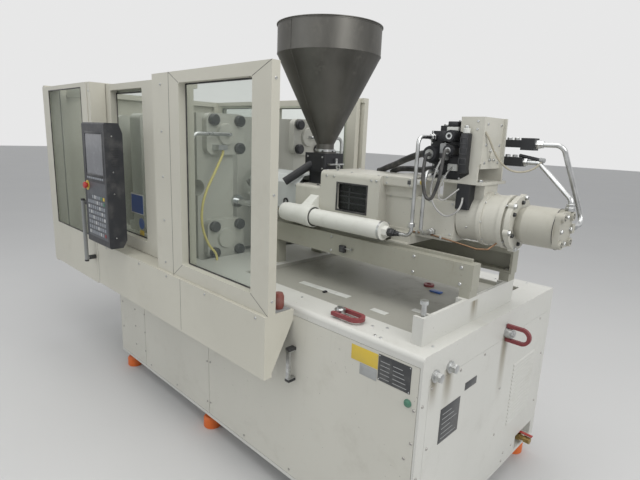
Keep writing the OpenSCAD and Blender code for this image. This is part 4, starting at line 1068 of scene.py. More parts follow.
@dataclass
class Cabinet:
    """Screws, plates, plugs and bits on the base housing, its deck and the beams."""

    front: float = -605.0
    end: float = 1500.0
    deck: float = 944.0
    tray: float = 922.0
    beam_face: float = -215.0
    screw: float = 5.8
    side_screws: tuple[tuple[float, tuple[float, ...]], ...] = (
        (-870, (480, 300)),
        (-682, (477, 359, 229)),
        (-548, (480, 356, 227)),
        (188, (435, 196)),
        (218, (440, 200)),
        (1478, (742, 615, 330)),
        (1455, (165, 544)),
    )
    toe_screws_x: tuple[float, ...] = (-475, -145, 520, 860, 1180)
    toe_screws_z: float = 155.0
    cover_top_y: tuple[float, ...] = (-536, -333, -133, 267, 467)
    cover_top_z: float = 810.0
    cover_screws: tuple[tuple[Pair, ...], ...] = (
        ((-534, 571), (67, 582), (71, 347), (306, 179), (212, 181), (198, 144)),
        ((-534, 330), (-534, 150), (-300, 146), (-60, 146), (552, 600), (552, 330)),
        ((-590, 478), (-590, 761), (-590, 220)),
    )
    deck_screws: tuple[tuple[Pair, ...], ...] = (
        ((801, -500), (1215, -519), (1263, -490), (1275, -580), (1302, -582), (1468, -500)),
        ((420, 560), (900, 560), (1380, 560), (1240, 500)),
    )
    louvres: int = 17
    louvre_y: float = 325.0
    louvre_z: float = 338.0
    louvre_pitch: float = 19.0
    louvre_half: float = 122.0
    plate: float = 1.2
    plate_edge: float = 0.4
    line_tall: float = 2.5
    handle_x: Pair = (858.0, 886.0)
    handle_reach: float = 40.0
    handle_ends: Pair = (611.0, 754.0)
    handle_end: float = 14.0
    feet_x: tuple[float, ...] = (-850.0, 140.0, 1430.0)
    foot_y: float = 545.0
    washer_z: float = 66.0
    thread_z: float = 72.0
    thread_pitch: float = 2.3
    threads: int = 9
    nut_z: float = 93.0

    def build(self) -> None:
        """Makes all pieces of the base housing."""
        self._screws()
        self._painted_louvre_shade()
        self._plates()
        self._handle()
        self._feet()
        self._tray_bits()
        self._beam_bits()

    def _screws(self) -> None:
        """Makes the button screws of the side sheets, the end cover and the deck."""
        shape = Shape()
        side = [(x, self.front, z) for x, heights in self.side_screws for z in heights]
        side += [(x, self.front, self.toe_screws_z) for x in self.toe_screws_x]
        shape.screws(side, TO_OPERATOR, self.screw, Paint.TOOL)
        cover = [(self.end, y, self.cover_top_z) for y in self.cover_top_y]
        cover += [(self.end, y, z) for group in self.cover_screws for y, z in group]
        shape.screws(cover, TO_END, self.screw, Paint.TOOL)
        top = [(x, y, self.deck) for group in self.deck_screws for x, y in group]
        shape.screws(top, UP, self.screw, Paint.PLATED)
        shape.piece("base_screws", "root")

    def _painted_louvre_shade(self) -> None:
        """Makes the dark strips of painted shade below each louvre's hood on the end cover."""
        shape = Shape()
        for row in range(self.louvres):
            z = self.louvre_z + row * self.louvre_pitch
            low = (self.end, self.louvre_y - self.louvre_half, z - 3.6)
            high = (self.end + 0.5, self.louvre_y + self.louvre_half, z - 0.2)
            # painted shade: a dark strip that stands in for the shadow under the louvre's hood
            shape.block(low, high, Stuff.GASKET)
        shape.piece("louvre_painted_shade", "root")

    def _plates(self) -> None:
        """Makes the bare plates with rows of plain lines, and the green plug."""
        shape = Shape()
        low, high = self.front - self.plate, self.front
        for left, bottom, right, top, finish in (
            (1189, 832, 1315, 891, Stuff.YELLOW),
            (1233, 785, 1313, 829, Stuff.SHEET),
            (1317, 795, 1457, 896, Stuff.PLATE),
        ):
            shape.block((left, low, bottom), (right, high, top), finish, self.plate_edge)
        raised = low - 0.3
        for row in range(5):
            foot = 806 + row * 16
            head = foot + self.line_tall
            shape.block((1327, raised, foot), (1368, low, head), Stuff.SHEET)
            shape.block((1382, raised, foot), (1442 - row * 5, low, head), Stuff.SHEET)
        corners = [(x, low, z) for x in (1322, 1452) for z in (800, 891)]
        shape.screws(corners, TO_OPERATOR, 2.5, Paint.PLATED)
        face = self.end + self.plate
        shape.block((self.end, -456, 550), (face, -311, 694), Stuff.PLATE, self.plate_edge)
        for row in range(6):
            foot = 566 + row * 20
            high_corner = (self.end + 1.5, -330 - (row % 3) * 22, foot + self.line_tall)
            shape.block((self.end + 1, -440, foot), high_corner, Stuff.SHEET)
        shape.block((self.end, -280, 703), (face, -185, 735), Stuff.PLATE, self.plate_edge)
        plug = [(0, 0), (15, 0), (15, 3), (11, 6), (11, 9), (8, 11), (0, 11)]
        shape.lathe((1452, self.front, 760), TO_OPERATOR, plug, Stuff.GREEN)
        shape.piece("base_plates", "root")

    def _handle(self) -> None:
        """Makes the black ends of the side sheet's bar handle."""
        shape = Shape()
        left, right = self.handle_x
        for low in self.handle_ends:
            corner = (right, self.front, low + self.handle_end)
            shape.block((left, self.front - self.handle_reach, low), corner, Stuff.CAPS, 3)
        shape.piece("handle_ends", "root")

    def _feet(self) -> None:
        """Makes the nuts, threads and black washers of the levelling feet."""
        shape = Shape()
        for x in self.feet_x:
            for y in (-self.foot_y, self.foot_y):
                shape.hexagon((x, y, self.nut_z), UP, 44, 16.5, Paint.PLATED)
                for turn in range(self.threads):
                    seat = (x, y, self.thread_z + turn * self.thread_pitch)
                    shape.washer(seat, UP, 11, 12.6, 1.2, Paint.PLATED, 20)
                shape.washer((x, y, self.washer_z), UP, 12.5, 20.5, 4.5, Stuff.CAPS, 24)
        shape.piece("foot_nuts", "root")

    def _tray_bits(self) -> None:
        """Makes what lies in the drip tray: thin white strips and small lost bits."""
        shape = Shape()
        paper = self.tray + 1.5
        slant = Matrix.Translation((740, -294, 0)) @ Matrix.Rotation(0.04, 4, "Z")
        shape.block((-155, -20, self.tray), (155, 20, paper), Stuff.WHITE, 0.3, slant)
        shape.block((1060, -342, self.tray), (1140, -308, paper), Stuff.WHITE, 0.3)
        shape.block((768, -336, self.tray), (782, -314, self.tray + 8), Stuff.CAPS, 1.5)
        shape.block((1090, 88, self.tray), (1150, 120, self.tray + 9), Stuff.BLUE, 4)
        shape.washer((1040, 168, self.tray), UP, 13, 27, 11, Paint.RING)
        shape.block((1180, -205, self.tray), (1230, -172, self.tray + 1.2), Stuff.WHITE, 0.3)
        shape.piece("tray_bits", "root")

    def _beam_bits(self) -> None:
        """Makes the limit switch, screws and bolt of the beams, and the guard's buffer."""
        shape = Shape()
        face = self.beam_face
        shape.block((766, face - 17, 1106), (800, face, 1140), Stuff.CAPS, 3)
        shape.block((772, face - 20, 1112), (794, face - 16, 1134), Stuff.PLATE, 1)
        shape.rod((800, face - 9, 1127), (838, face - 9, 1129), 2.4, Paint.PLATED)
        shape.rod((838, face - 14, 1129), (838, face - 5, 1129), 6, Paint.PLATED, 0.0, 16)
        for x in (260, 700, 1180, 1400):
            shape.screws([(x, face, 1168), (x, face, 1100)], TO_OPERATOR, 7, Paint.PLATED)
        shelf = 930
        shape.block((782, -694, shelf), (850, -612, shelf + 4), Paint.GREY, 1)
        buffer = [(0, 0), (20, 0), (24, 12), (24, 54), (18, 68), (0, 70)]
        shape.lathe((816, -652, shelf + 4), UP, buffer, Stuff.BUFFER)
        bolt = (1422, 185, 1088)
        shape.rod((1422, 185, 1048), bolt, 10, Paint.TOOL)
        shape.hexagon(bolt, UP, 34, 14, Paint.TOOL)
        shape.piece("beam_bits", "root")


# Guard


@dataclass
class Guard:
    """Gaskets, seams, plain stickers and small ironwork of the guard."""

    top: float = 1912.0
    sill: float = 930.0
    fixed_y: float = -745.0
    fixed_x: Pair = (107.0, 860.0)
    window_x: Pair = (197.0, 745.0)
    window_z: Pair = (1000.0, 1861.0)
    gasket: float = 7.0
    gasket_depth: float = 5.0
    apron_face: float = -760.0
    apron_low: float = 660.0
    apron_seams: tuple[Pair, ...] = ((-840.0, -838.4), (196.0, 197.4))
    pane_y: float = -620.0
    clamp_face: float = -760.0
    pull_x: float = -886.0
    pull_reach: float = 55.0
    screw: float = 6.0
    screw_heights: tuple[float, ...] = (980, 1200, 1420, 1640, 1860)
    roller_y: Pair = (-619.0, -612.5)
    roller_z: float = 1893.0
    roller_pitch: float = 26.0

    def build(self) -> None:
        """Makes all pieces of the guard."""
        self._gaskets()
        self._seams()
        self._stickers()
        self._pull_handle()
        self._screws()
        self._rollers()

    def _gaskets(self) -> None:
        """Makes the rubber edges of the windows."""
        windows = (
            ("fixed", "root", self.window_x, self.window_z, -710.0),
            ("rear", "root", (-1580, -880), (960, 1861), 705.0),
            ("operator", "operator_door_body", (-762, -346), (1005, 1856), -625.0),
            ("clamp", "clamp_door_body", (-1570, -960), (950, 1886), -762.0),
            ("sliding_rear", "rear_door_body", (-740, -20), (1005, 1850), 655.0),
        )
        for name, body, x, z, y in windows:
            shape = Shape()
            shape.window(x, z, (y, y + self.gasket_depth), self.gasket, Stuff.GASKET)
            shape.piece(f"{name}_gasket", body)

    def _seams(self) -> None:
        """Makes the mitre seams of the fixed guard and the seams of post and apron."""
        shape = Shape()
        for side in (0, 1):
            for height, edge in zip(self.window_z, (self.sill, self.top)):
                inner = (self.window_x[side], self.fixed_y, height)
                outer = (self.fixed_x[side], self.fixed_y, edge)
                shape.rod(inner, outer, 0.9, Stuff.GASKET, 0.0, 8)
        post = self.fixed_x[0]
        low = (post - 0.4, self.fixed_y - 0.6, self.sill + 1)
        shape.block(low, (post + 1.4, self.fixed_y + 1, self.top - 1), Stuff.GASKET)
        for left, right in self.apron_seams:
            low = (left, self.apron_face - 0.5, self.apron_low)
            shape.block(low, (right, self.apron_face + 1, self.sill - 1), Stuff.GASKET)
        shape.piece("guard_seams", "root")

    def _stickers(self) -> None:
        """Makes the blank stickers in the operator door's window."""
        shape = Shape()
        pane = self.pane_y
        shape.block((-628, pane - 1, 1140), (-462, pane, 1262), Stuff.WHITE, 0.3)
        shape.block((-622, pane - 1.4, 1146), (-468, pane - 0.9, 1256), Stuff.BLUE)
        disc = [(0, 0), (34, 0), (34, 0.8), (0, 0.8)]
        shape.lathe((-496, pane - 0.2, 1086), TO_OPERATOR, disc, Stuff.BLUE)
        shape.block((-524, pane - 1, 1014), (-468, pane, 1044), Stuff.YELLOW, 0.3)
        shape.piece("door_stickers", "operator_door_body")

    def _pull_handle(self) -> None:
        """Makes the black stand-offs and end caps of the clamp door's handle."""
        shape = Shape()
        x, door = self.pull_x, self.clamp_face
        bar = door - self.pull_reach
        for z in (822, 1183):
            shape.rod((x, door - 42, z), (x, door, z), 14.5, Stuff.CAPS, 2)
        for low, high in ((798, 812), (1193, 1207)):
            shape.rod((x, bar, low), (x, bar, high), 13.2, Stuff.CAPS, 3)
        shape.piece("pull_handle_ends", "clamp_door_body")

    def _screws(self) -> None:
        """Makes the screws along the posts, the apron and the fixed guard's end."""
        shape = Shape()
        places = [(30, self.fixed_y, z) for z in self.screw_heights]
        places += [(-848, -756, z) for z in self.screw_heights]
        places += [(x, self.apron_face, 912) for x in (-700, -250, 60, 420, 800)]
        shape.screws(places, TO_OPERATOR, self.screw, Paint.PLATED)
        places = [(self.fixed_x[1], -725, z) for z in (990, 1420, 1850)]
        shape.screws(places, TO_END, self.screw, Paint.PLATED)
        shape.piece("guard_screws", "root")

    def _rollers(self) -> None:
        """Makes the rollers on the operator door's hangers."""
        shape = Shape()
        near, far = self.roller_y
        for hanger in (-770, -366):
            for x in (hanger, hanger + self.roller_pitch):
                start = (x, near, self.roller_z)
                shape.rod(start, (x, far, self.roller_z), 8, Paint.PLATED, 1)
        shape.piece("door_rollers", "operator_door_body")


# Console


COLOURED_KEYS: dict[tuple[int, int], Paint | Stuff] = {
    (7, 7): Stuff.YELLOW,
    (6, 7): Stuff.GREEN,
    (7, 6): Stuff.GREEN,
    (7, 0): Paint.RING,
}


@dataclass
class Console:
    """Bezel, keys and knob ring of the control console."""

    x: float = -700.0
    face: float = -861.0
    width: float = 315.0
    keys_low: float = 980.0
    keys_top: float = 1350.0
    top: float = 1673.0
    rim: float = 24.0
    bezel: float = 14.0
    soft_keys: int = 8
    soft_key: float = 21.0
    soft_pitch: float = 30.0
    soft_z: Pair = (8.0, 20.0)
    keys: int = 8
    key: Pair = (22.0, 19.0)
    key_pitch: Pair = (31.0, 30.0)
    key_start: Pair = (36.0, 56.0)
    key_edge: float = 0.8
    knob_gap: int = 2
    slots: int = 9
    slot_pitch: float = 12.0

    def build(self) -> None:
        """Makes the pieces of the console."""
        self._bezel()
        self._keys()
        self._trim()

    def _bezel(self) -> None:
        """Makes the frame round the screen and the row of soft keys below it."""
        shape = Shape()
        sides = (self.x + self.rim, self.x + self.width - self.rim)
        ends = (self.keys_top + self.rim, self.top - 2 * self.rim)
        shape.window(sides, ends, (self.face - 1.0, self.face + 3), self.bezel, Stuff.BEZEL)
        bottom, top = (self.keys_top + rise for rise in self.soft_z)
        for key in range(self.soft_keys):
            left = self.x + 42 + key * self.soft_pitch
            high = (left + self.soft_key, self.face + 0.5, top)
            shape.block((left, self.face - 1.0, bottom), high, Stuff.KEYCAP, self.key_edge)
        shape.piece("console_bezel", "root")

    def _keys(self) -> None:
        """Makes the rows of keys, which leave room for the stop knob in the top row."""
        shape = Shape()
        for row in range(self.keys):
            for column in range(self.keys):
                if row == self.keys - 1 and column < self.knob_gap:
                    continue
                left = self.x + self.key_start[0] + column * self.key_pitch[0]
                bottom = self.keys_low + self.key_start[1] + row * self.key_pitch[1]
                high = (left + self.key[0], self.face + 0.5, bottom + self.key[1])
                finish = self._key_finish(column, row)
                shape.block((left, self.face - 1.2, bottom), high, finish, self.key_edge)
        shape.piece("console_keys", "root")

    @staticmethod
    def _key_finish(column: int, row: int) -> Paint | Stuff:
        """Gives a key's finish: some are coloured and every fifth one is pale."""
        plain = Stuff.KEYLIGHT if (row + column) % 5 == 0 else Stuff.KEYCAP
        return COLOURED_KEYS.get((column, row), plain)

    def _trim(self) -> None:
        """Makes the knob's yellow ring, the seam, the side screws and the side slots."""
        shape = Shape()
        knob = (self.x + 38, self.face, self.keys_top - 34)
        shape.washer(knob, TO_OPERATOR, 13, 29, 0.7, Stuff.YELLOW)
        side, seam = self.x + self.width, self.keys_top + 6
        low = (self.x - 0.3, self.face - 0.3, seam)
        shape.block(low, (side + 0.3, self.face + 90, seam + 2), Stuff.CAPS)
        for z in (self.keys_low + 60, self.keys_top - 60, self.keys_top + 60, self.top - 70):
            shape.screws([(side, self.face + 40, z)], TO_END, 4, Paint.PLATED)
        for slot in range(self.slots):
            z = self.keys_top + 90 + slot * self.slot_pitch
            low = (side - 0.2, self.face + 30, z)
            shape.block(low, (side + 0.4, self.face + 76, z + 4), Stuff.CAPS)
        shape.piece("console_trim", "root")


# Carriage


@dataclass
class Carriage:
    """Bolts, gaskets, unions and trim of the sliding injection carriage."""

    axis: float = 1340.0
    wall: float = -150.0
    cover_wall: float = -125.0
    rear_wall: float = -92.0
    top: float = 1482.0
    window_x: Pair = (658.0, 858.0)
    window_z: Pair = (1289.0, 1432.0)
    shelf_x: Pair = (664.0, 852.0)
    motor_x: float = 1520.0
    motor_cap: float = 1690.0
    motor_ports: tuple[tuple[Point, Point, tuple[Pair, ...]], ...] = (
        ((1682, 46, 1408), UP, ((30, 16), (26, 12))),
        ((1686, 84, 1340), TO_REAR, ((27, 18), (24, 14))),
    )
    cylinder_y: float = 215.0
    cylinder_z: float = 1249.0
    cylinder_ports: tuple[Point, ...] = (
        (1155, -94, 1663),
        (1185, -84, 1524),
        (1185, -92, 1262),
    )
    cover_y: float = -135.0
    hopper_x: float = 425.0
    hopper_foot: float = 1568.0
    hopper_rings: Pair = (2055.0, 2190.0)
    hopper_radius: float = 269.0
    body: str = "carriage_body"

    def build(self) -> None:
        """Makes the pieces of the carriage."""
        self._sight_window()
        self._frame_trim()
        self._cylinders()
        self._drum_bolts()
        self._motor_bolts()
        self._barrel_cover()
        self._hopper()

    @staticmethod
    def _layer(side: int, inner: float, outer: float) -> Pair:
        """Gives the Y range of a layer on one side of the machine's axis."""
        return tuple(sorted((side * inner, side * outer)))

    def _sight_window(self) -> None:
        """Makes the gaskets and what is seen behind the smoked panes."""
        shape = Shape()
        left, right = self.shelf_x
        for side in (-1, 1):
            rim = self._layer(side, 148.0, 152.5)
            shape.window(self.window_x, self.window_z, rim, 9, Stuff.GASKET)
            near, far = self._layer(side, 118.0, 122.0)
            shape.block((left, near, 1405), (right, far, 1413), Stuff.WHITE, 1)
            shape.block((left, near, 1284), (right, far, 1300), Stuff.SHEET, 1)
            board = self._layer(side, 112.0, 115.0)
            low, high = (left - 4, board[0], 1286), (right + 4, board[1], 1430)
            shape.block(low, high, Stuff.WHITE)
            for z in (1330, 1362, 1384):
                shape.rod((left, near, z), (right, near, z), 4, Paint.GREY)
            shape.rod((left + 60, near, 1300), (left + 60, near, 1405), 6, Paint.GREY)
        shape.piece("sight_window_trim", self.body)

    def _frame_trim(self) -> None:
        """Makes the screws, label, lifting eye, copper line and knob of the frame."""
        shape = Shape()
        corners = [(x, self.wall, z) for x in (590, 640, 876, 905) for z in (1262, 1456)]
        shape.screws(corners, TO_OPERATOR, 6, Paint.PLATED)
        cover = [(x, self.cover_wall, z) for x in (945, 1070) for z in (1452, 1478)]
        shape.screws(cover, TO_OPERATOR, 4.5, Paint.PLATED)
        box = [(x, self.rear_wall, z) for x in (950, 1060, 1160, 1268) for z in (1262, 1392)]
        shape.screws(box, TO_OPERATOR, 5, Paint.PLATED)
        label = ((1058, self.cover_wall - 1, 1456), (1075, self.cover_wall, 1473))
        shape.block(*label, Stuff.PLATE, 0.3)
        lid = [(x, y, self.top) for x in (572, 736, 900) for y in (-128, 128)]
        shape.screws(lid, UP, 6, Paint.PLATED)
        throat = [(x, y, 1397) for x in (380, 500) for y in (-120, 120)]
        shape.screws(throat, UP, 8, Stuff.CAPS)
        shape.rod((635, -120, self.top), (635, -120, self.top + 8), 5, Paint.PLATED)
        shape.washer((635, -122, self.top + 18), TO_REAR, 7, 13, 5, Paint.PLATED)
        line = ((1084, -108, 1248), (1182, -108, 1250), (1286, -108, 1240), (1400, -104, 1226))
        shape.bend((*line, (1440, -88, 1230), (1462, -62, 1256)), 3.5, Paint.COPPER, 12)
        for x, z in ((1110, 1249), (1230, 1244)):
            shape.block((x, -114, z - 7), (x + 12, -100, z + 7), Paint.PLATED, 1)
        shape.rod((1090, -100, 1468), (1112, -100, 1468), 13, Stuff.WHITE, 1)
        shape.rod((1112, -100, 1468), (1136, -100, 1468), 11, Stuff.YELLOW, 2)
        shape.block((1086, -100, 1458), (1094, -90, 1478), Paint.PLATED)
        shape.piece("carriage_trim", self.body)

    def _cylinders(self) -> None:
        """Makes the unions, rod wipers and bolts of the carriage cylinders."""
        shape = Shape()
        z = self.cylinder_z
        for y in (-self.cylinder_y, self.cylinder_y):
            shape.washer((340, y, z), TO_END, 20.6, 34, 5, Stuff.CAPS)
            for angle in (45, 135, 225, 315):
                seat = round_x((344.5, y, z), 30, angle)
                shape.screws([seat], TO_CLAMP, 4.5, Stuff.CAPS)
            shape.washer((575, y, z), TO_END, 42, 47, 2, Stuff.GASKET)
            shape.washer((1000, y, z), TO_END, 42, 43.2, 10, Paint.PLATED)
        y = -self.cylinder_y
        for start, across, tall in ((1041, 34, 20), (1061, 28, 12), (1076, 22, 10)):
            shape.hexagon((start, y, z), TO_END, across, tall, Stuff.CAPS)
        collar = [(8, 0), (11, 0), (10, 12), (8, 12), (8, 0)]
        shape.lathe((1086, y, z), TO_END, collar, Stuff.CAPS, 20)
        shape.hexagon((1155, y, 1290), UP, 24, 18, Paint.PLATED)
        for port in self.cylinder_ports:
            shape.nuts(port, TO_OPERATOR, ((28, 16), (24, 13)), Paint.PLATED)
        shape.piece("pipe_unions", self.body)

    def _drum_bolts(self) -> None:
        """Makes the bolts of the drum's flanges and the screws on its barrel."""
        shape = Shape()
        for x, radius, angles, across, tall in (
            (self.motor_x, 105, range(15, 375, 60), 18, 10),
            (1488, 101.5, range(45, 405, 90), 10, 6),
            (1403, 107.6, range(0, 360, 45), 6, 4),
        ):
            shape.bolts((x, 0, self.axis), radius, angles, across, tall, Paint.PLATED)
        for angle in (200, 250, 300):
            seat = round_x((1340, 0, self.axis), 100, angle)
            shape.screws([seat], (0, seat[1], seat[2] - self.axis), 5, Paint.PLATED)
        shape.piece("drum_bolts", self.body)

    def _motor_bolts(self) -> None:
        """Makes the bolts round the motor's cone, its cover's screws and its unions."""
        shape = Shape()
        cone = (self.motor_x, 0, self.axis)
        shape.bolts(cone, 84, range(30, 390, 60), 14, 9, Stuff.CAPS)
        cap = (self.motor_cap, 0, self.axis)
        shape.bolts(cap, 50, (0, 90, 180, 270), 15, 8, Paint.PLATED)
        shape.washer((1667, 0, self.axis), TO_END, 77, 79.5, 2.2, Stuff.GASKET, 48)
        for y, rise in ((-50, -50), (-50, 50), (50, -50), (50, 50)):
            seat = (1699.2, y, self.axis + rise)
            shape.washer(seat, TO_END, 5, 10, 0.8, Paint.PLATED, 20)
        for start, along, sizes in self.motor_ports:
            shape.nuts(start, along, sizes, Paint.PLATED)
        shape.piece("motor_bolts", self.body)

    def _barrel_cover(self) -> None:
        """Makes the oval ring, the screws, and a dark strip of painted shade along the fold of
        the barrel cover.
        """
        shape = Shape()
        y = self.cover_y
        shape.washer((268, y, 1285), TO_OPERATOR, 11, 19, 5, Stuff.CAPS)
        for x in (-40, 150, 345):
            shape.screws([(x, y, 1262), (x, y, 1380)], TO_OPERATOR, 5, Paint.PLATED)
        # painted shade: a dark strip along the cover's fold
        shape.block((356, y - 1, 1252), (362, y + 1, 1388), Stuff.GASKET)
        shape.piece("cover_trim", self.body)

    def _hopper(self) -> None:
        """Makes the hopper's weld seam, neck clamp and the slide's fittings."""
        shape = Shape()
        x, foot, radius = self.hopper_x, self.hopper_foot, self.hopper_radius
        shape.washer((x, 0, foot), UP, 48, 56, 12, Paint.PLATED, 48)
        for angle in range(0, 360, 60):
            side = 55 * math.cos(math.radians(angle))
            seat = (x + side, 55 * math.sin(math.radians(angle)), foot)
            shape.hexagon(seat, UP, 10, 7, Stuff.CAPS)
        for low in self.hopper_rings:
            shape.washer((x, 0, low), UP, radius, radius + 2.4, 5, Paint.HOPPER, 96)
        top = self.hopper_rings[1]
        shape.block((x - 2, -radius - 2.2, 2062), (x + 2, -radius, top), Paint.HOPPER)
        cone_top = (x, -radius - 0.5, 2054)
        shape.rod((x, -50, 1609), cone_top, 1.6, Paint.HOPPER, 0.0, 8)
        for side in (x - 55, x + 55):
            shape.screws([(side, -75, z) for z in (1480, 1540)], TO_OPERATOR, 5, Paint.PLATED)
        shape.piece("hopper_trim", self.body)


# Valves


@dataclass
class Valves:
    """Solenoid ribs, plugs, nuts and blocks of the valve stack and its bracket."""

    face: float = -94.0
    manifold: float = -84.0
    coils: tuple[Point, ...] = ((1170, 1594, 32), (1254, 1612, 22), (1254, 1670, 22))
    ribs: int = 5
    rib_pitch: float = 9.0
    coil_end: float = -148.0
    bracket_z: float = 1482.0
    bracket_side: float = 1379.0
    post: tuple[float, float] = (1316.0, -126.0)
    distributor_y: float = 90.0
    body: str = "carriage_body"

    def build(self) -> None:
        """Makes the pieces of the valve stack."""
        self._solenoids()
        self._blocks()
        self._bracket()
        self._distributor()

    def _solenoids(self) -> None:
        """Makes the coils' ribs, end nuts and grey plugs."""
        shape = Shape()
        for x, z, radius in self.coils:
            for rib in range(self.ribs):
                seat = (x, self.face - 8 - rib * self.rib_pitch, z)
                shape.washer(seat, TO_OPERATOR, radius - 1, radius + 2.2, 4, Stuff.CAPS)
            end = (x, self.coil_end, z)
            shape.washer(end, TO_OPERATOR, 8, radius * 0.62, 4, Paint.PLATED)
        for rib in range(4):
            shape.washer((1107 + rib * 8, -54, 1592), TO_END, 30, 33, 4, Stuff.CAPS)
        for x, z, tall in ((1187, 1710, 9), (1254, 1727, 8)):
            shape.hexagon((x, -54, z), UP, 24, tall, Paint.PLATED)
        shape.block((1203, -130, 1572), (1233, -92, 1640), Stuff.PLUG, 6)
        shape.block((1207, -134, 1580), (1229, -129, 1600), Stuff.CAPS, 2)
        shape.piece("solenoid_trim", self.body)

    def _blocks(self) -> None:
        """Makes the white blocks, black caps, post and socket screws of the valves."""
        shape = Shape()
        shape.block((1214, -104, 1671), (1266, -60, 1707), Stuff.WHITE, 3)
        shape.block((1217, -102, 1709), (1263, -64, 1729), Stuff.CAPS, 3)
        shape.block((1188, -112, 1648), (1228, -92, 1690), Stuff.CAPS, 2)
        shape.block((1230, -98, 1530), (1273, -82, 1558), Stuff.WHITE, 2)
        shape.block((1300, -142, 1526), (1333, -109, 1682), Stuff.CAPS, 3)
        shape.rod((*self.post, 1682), (*self.post, 1702), 14, Stuff.WHITE, 2)
        shape.rod((*self.post, 1702), (*self.post, 1712), 9, Paint.PLATED, 1)
        for z in (1560, 1600, 1640):
            shape.window((1301, 1332), (z, z + 26), (-144, -141), 3, Stuff.PLATE)
        sockets = [(x, self.face, z) for x in (1146, 1208) for z in (1562, 1640, 1684)]
        sockets += [(x, self.manifold, z) for x in (1156, 1280) for z in (1500, 1548)]
        shape.screws(sockets, TO_OPERATOR, 4.5, Paint.PLATED)
        gauge = (1215, self.manifold, 1500)
        shape.hexagon(gauge, TO_OPERATOR, 22, 12, Paint.PLATED)
        shape.rod((1215, -96, 1500), (1215, -106, 1500), 8, Paint.PLATED, 1)
        shape.piece("valve_blocks", self.body)

    def _bracket(self) -> None:
        """Makes the bolts, the round cover and the screws of the bracket."""
        shape = Shape()
        side = [(self.bracket_side, y, z) for y in (-80, 40) for z in (1570, 1640, 1720)]
        shape.screws(side, TO_END, 6, Paint.PLATED)
        hub = (self.bracket_side, -20, 1600)
        shape.bolts(hub, 26, (45, 135, 225, 315), 10, 6, Paint.PLATED)
        shape.lathe(hub, TO_END, [(0, 0), (18, 0), (18, 4), (14, 6), (0, 6)], Paint.UNIT)
        for x, y in ((1160, 95), (1160, -100), (1380, 95), (1380, -92)):
            shape.hexagon((x, y, self.bracket_z + 12), UP, 16, 9, Paint.PLATED)
        shape.screws([(1352, -110, z) for z in (1700, 1730)], TO_OPERATOR, 5, Paint.PLATED)
        shape.piece("bracket_bolts", self.body)

    def _distributor(self) -> None:
        """Makes the nuts on the distributor blocks and the black-handled cock."""
        shape = Shape()
        y = self.distributor_y
        shape.nuts((1510, y, 1650), TO_END, ((32, 16), (27, 12)), Paint.PLATED)
        shape.hexagon((1470, y, 1578), TO_END, 30, 14, Paint.PLATED)
        for x in (1400, 1430):
            for z in (1665, 1596):
                shape.hexagon((x, y, z), UP, 18, 10, Paint.PLATED)
        shape.rod((1456, y, 1596), (1456, y, 1606), 7, Paint.PLATED)
        lever, grip = (1448, y - 2, 1604), (1530, y - 2, 1590)
        shape.rod(lever, grip, 7, Stuff.CAPS, 2)
        shape.rod(grip, (1552, y - 2, 1588), 9.5, Stuff.PLUG, 2)
        shape.piece("distributor_nuts", self.body)


# Cords


@dataclass(frozen=True)
class Hose:
    """A free hose or cable along the route that its solid follows."""

    name: str
    body: str
    route: tuple[Point, ...]
    diameter: float
    finish: Stuff
    node: str = ""
    slot: str = ""
    stiffness: str = "medium"

    def build(self) -> bpy.types.Object:
        """Returns:
            The curve object.
        """
        data = bpy.data.curves.new(self.name, "CURVE")
        data.dimensions = "3D"
        data.bevel_depth = self.diameter / 2 * MM
        data.bevel_resolution = 5
        data.use_fill_caps = True
        data.resolution_u = 1
        points = self._smooth(CORD_STEPS)
        line = data.splines.new("POLY")
        line.points.add(len(points) - 1)
        for knot, point in zip(line.points, points):
            knot.co = (*at(point), 1.0)
        data.materials.append(self.finish.value.material())
        made = bpy.data.objects.new(self.name, data)
        bpy.context.scene.collection.objects.link(made)
        length = sum((b - a).length for a, b in zip(points, points[1:]))
        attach(made, self.body)
        if self.node:
            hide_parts(self.node)
        LOG.info("%s is %.0f mm long", self.name, length)
        return made

    def _smooth(self, steps: int) -> list[Vector]:
        """Gives points on one smooth curve through the route.

        Args:
            steps: Points for each stretch.

        Returns:
            The curve's points.
        """
        knots = [Vector(p) for p in self.route]
        knots = [2 * knots[0] - knots[1], *knots, 2 * knots[-1] - knots[-2]]
        points = []
        for a, b, c, d in zip(knots, knots[1:], knots[2:], knots[3:]):
            for step in range(steps):
                t = step / steps
                points.append(
                    0.5
                    * (
                        2 * b
                        + (c - a) * t
                        + (2 * a - 5 * b + 4 * c - d) * t**2
                        + (3 * b - a - 3 * c + d) * t**3
                    )
                )
        return [*points, knots[-2]]


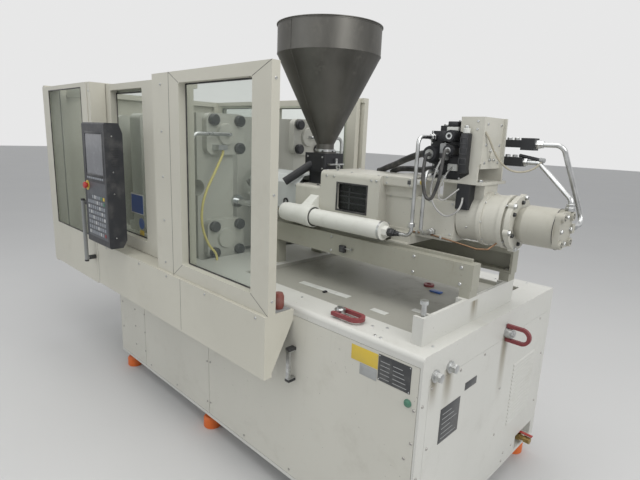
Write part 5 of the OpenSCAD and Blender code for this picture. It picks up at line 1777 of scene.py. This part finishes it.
HOSES = (
    Hose(
        "yellow_grease_hose",
        "root",
        (
            (0, -370, 1552),
            (0, -375, 1525),
            (15, -430, 1440),
            (30, -500, 1330),
            (35, -530, 1230),
            (35, -525, 1130),
            (35, -490, 1040),
            (40, -450, 985),
            (40, -440, 944),
        ),
        14,
        Stuff.HOSE,
        "yellow_hoses",
        "yellow_hose",
    ),
    Hose(
        "valve_cable",
        "carriage_body",
        (
            (1170, -150, 1594),
            (1170, -175, 1580),
            (1190, -215, 1500),
            (1215, -225, 1430),
            (1245, -225, 1425),
            (1265, -215, 1500),
            (1254, -175, 1600),
            (1254, -150, 1612),
        ),
        14,
        Stuff.RUBBER,
        "valve_loom",
        "black_rubber",
    ),
    Hose(
        "upper_pressure_hose",
        "carriage_body",
        (
            (1106, -54, 1592),
            (1060, -40, 1588),
            (960, 0, 1560),
            (860, 60, 1530),
            (770, 110, 1505),
            (722, 128, 1488),
            (700, 130, 1482),
        ),
        30,
        Stuff.RUBBER,
    ),
    Hose(
        "lower_pressure_hose",
        "carriage_body",
        (
            (1149, -30, 1526),
            (1100, -10, 1524),
            (1010, 50, 1512),
            (930, 100, 1510),
            (850, 118, 1504),
            (812, 122, 1494),
            (790, 124, 1482),
        ),
        28,
        Stuff.RUBBER,
    ),
    Hose(
        "silver_valve_lead",
        "carriage_body",
        (
            (1218, -128, 1578),
            (1210, -150, 1530),
            (1200, -162, 1450),
            (1225, -166, 1385),
            (1276, -162, 1350),
            (1318, -150, 1370),
            (1326, -130, 1400),
            (1320, -112, 1425),
        ),
        8,
        Stuff.LEAD,
    ),
    Hose(
        "white_valve_lead",
        "carriage_body",
        (
            (1250, -96, 1544),
            (1246, -125, 1520),
            (1232, -150, 1460),
            (1240, -160, 1420),
            (1262, -155, 1415),
            (1286, -135, 1440),
            (1300, -112, 1460),
        ),
        6,
        Stuff.LEAD,
    ),
    Hose(
        "beige_sensor_lead",
        "carriage_body",
        (
            (1379, -95, 1690),
            (1392, -80, 1660),
            (1418, -45, 1590),
            (1450, 0, 1548),
            (1486, 40, 1540),
            (1520, 70, 1556),
            (1545, 88, 1588),
        ),
        8,
        Stuff.BEIGE,
    ),
)


def main() -> None:
    """Builds the looks in order."""
    logging.basicConfig(level=logging.INFO, format="%(name)s: %(message)s")
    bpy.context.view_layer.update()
    Viewpoint().set_up()
    for hose in HOSES:
        hose.build()
    for part in (Cabinet(), Guard(), Console(), Carriage(), Valves()):
        part.build()
    Studio().build()
    dress_nodes()


if __name__ == "__main__":
    main()
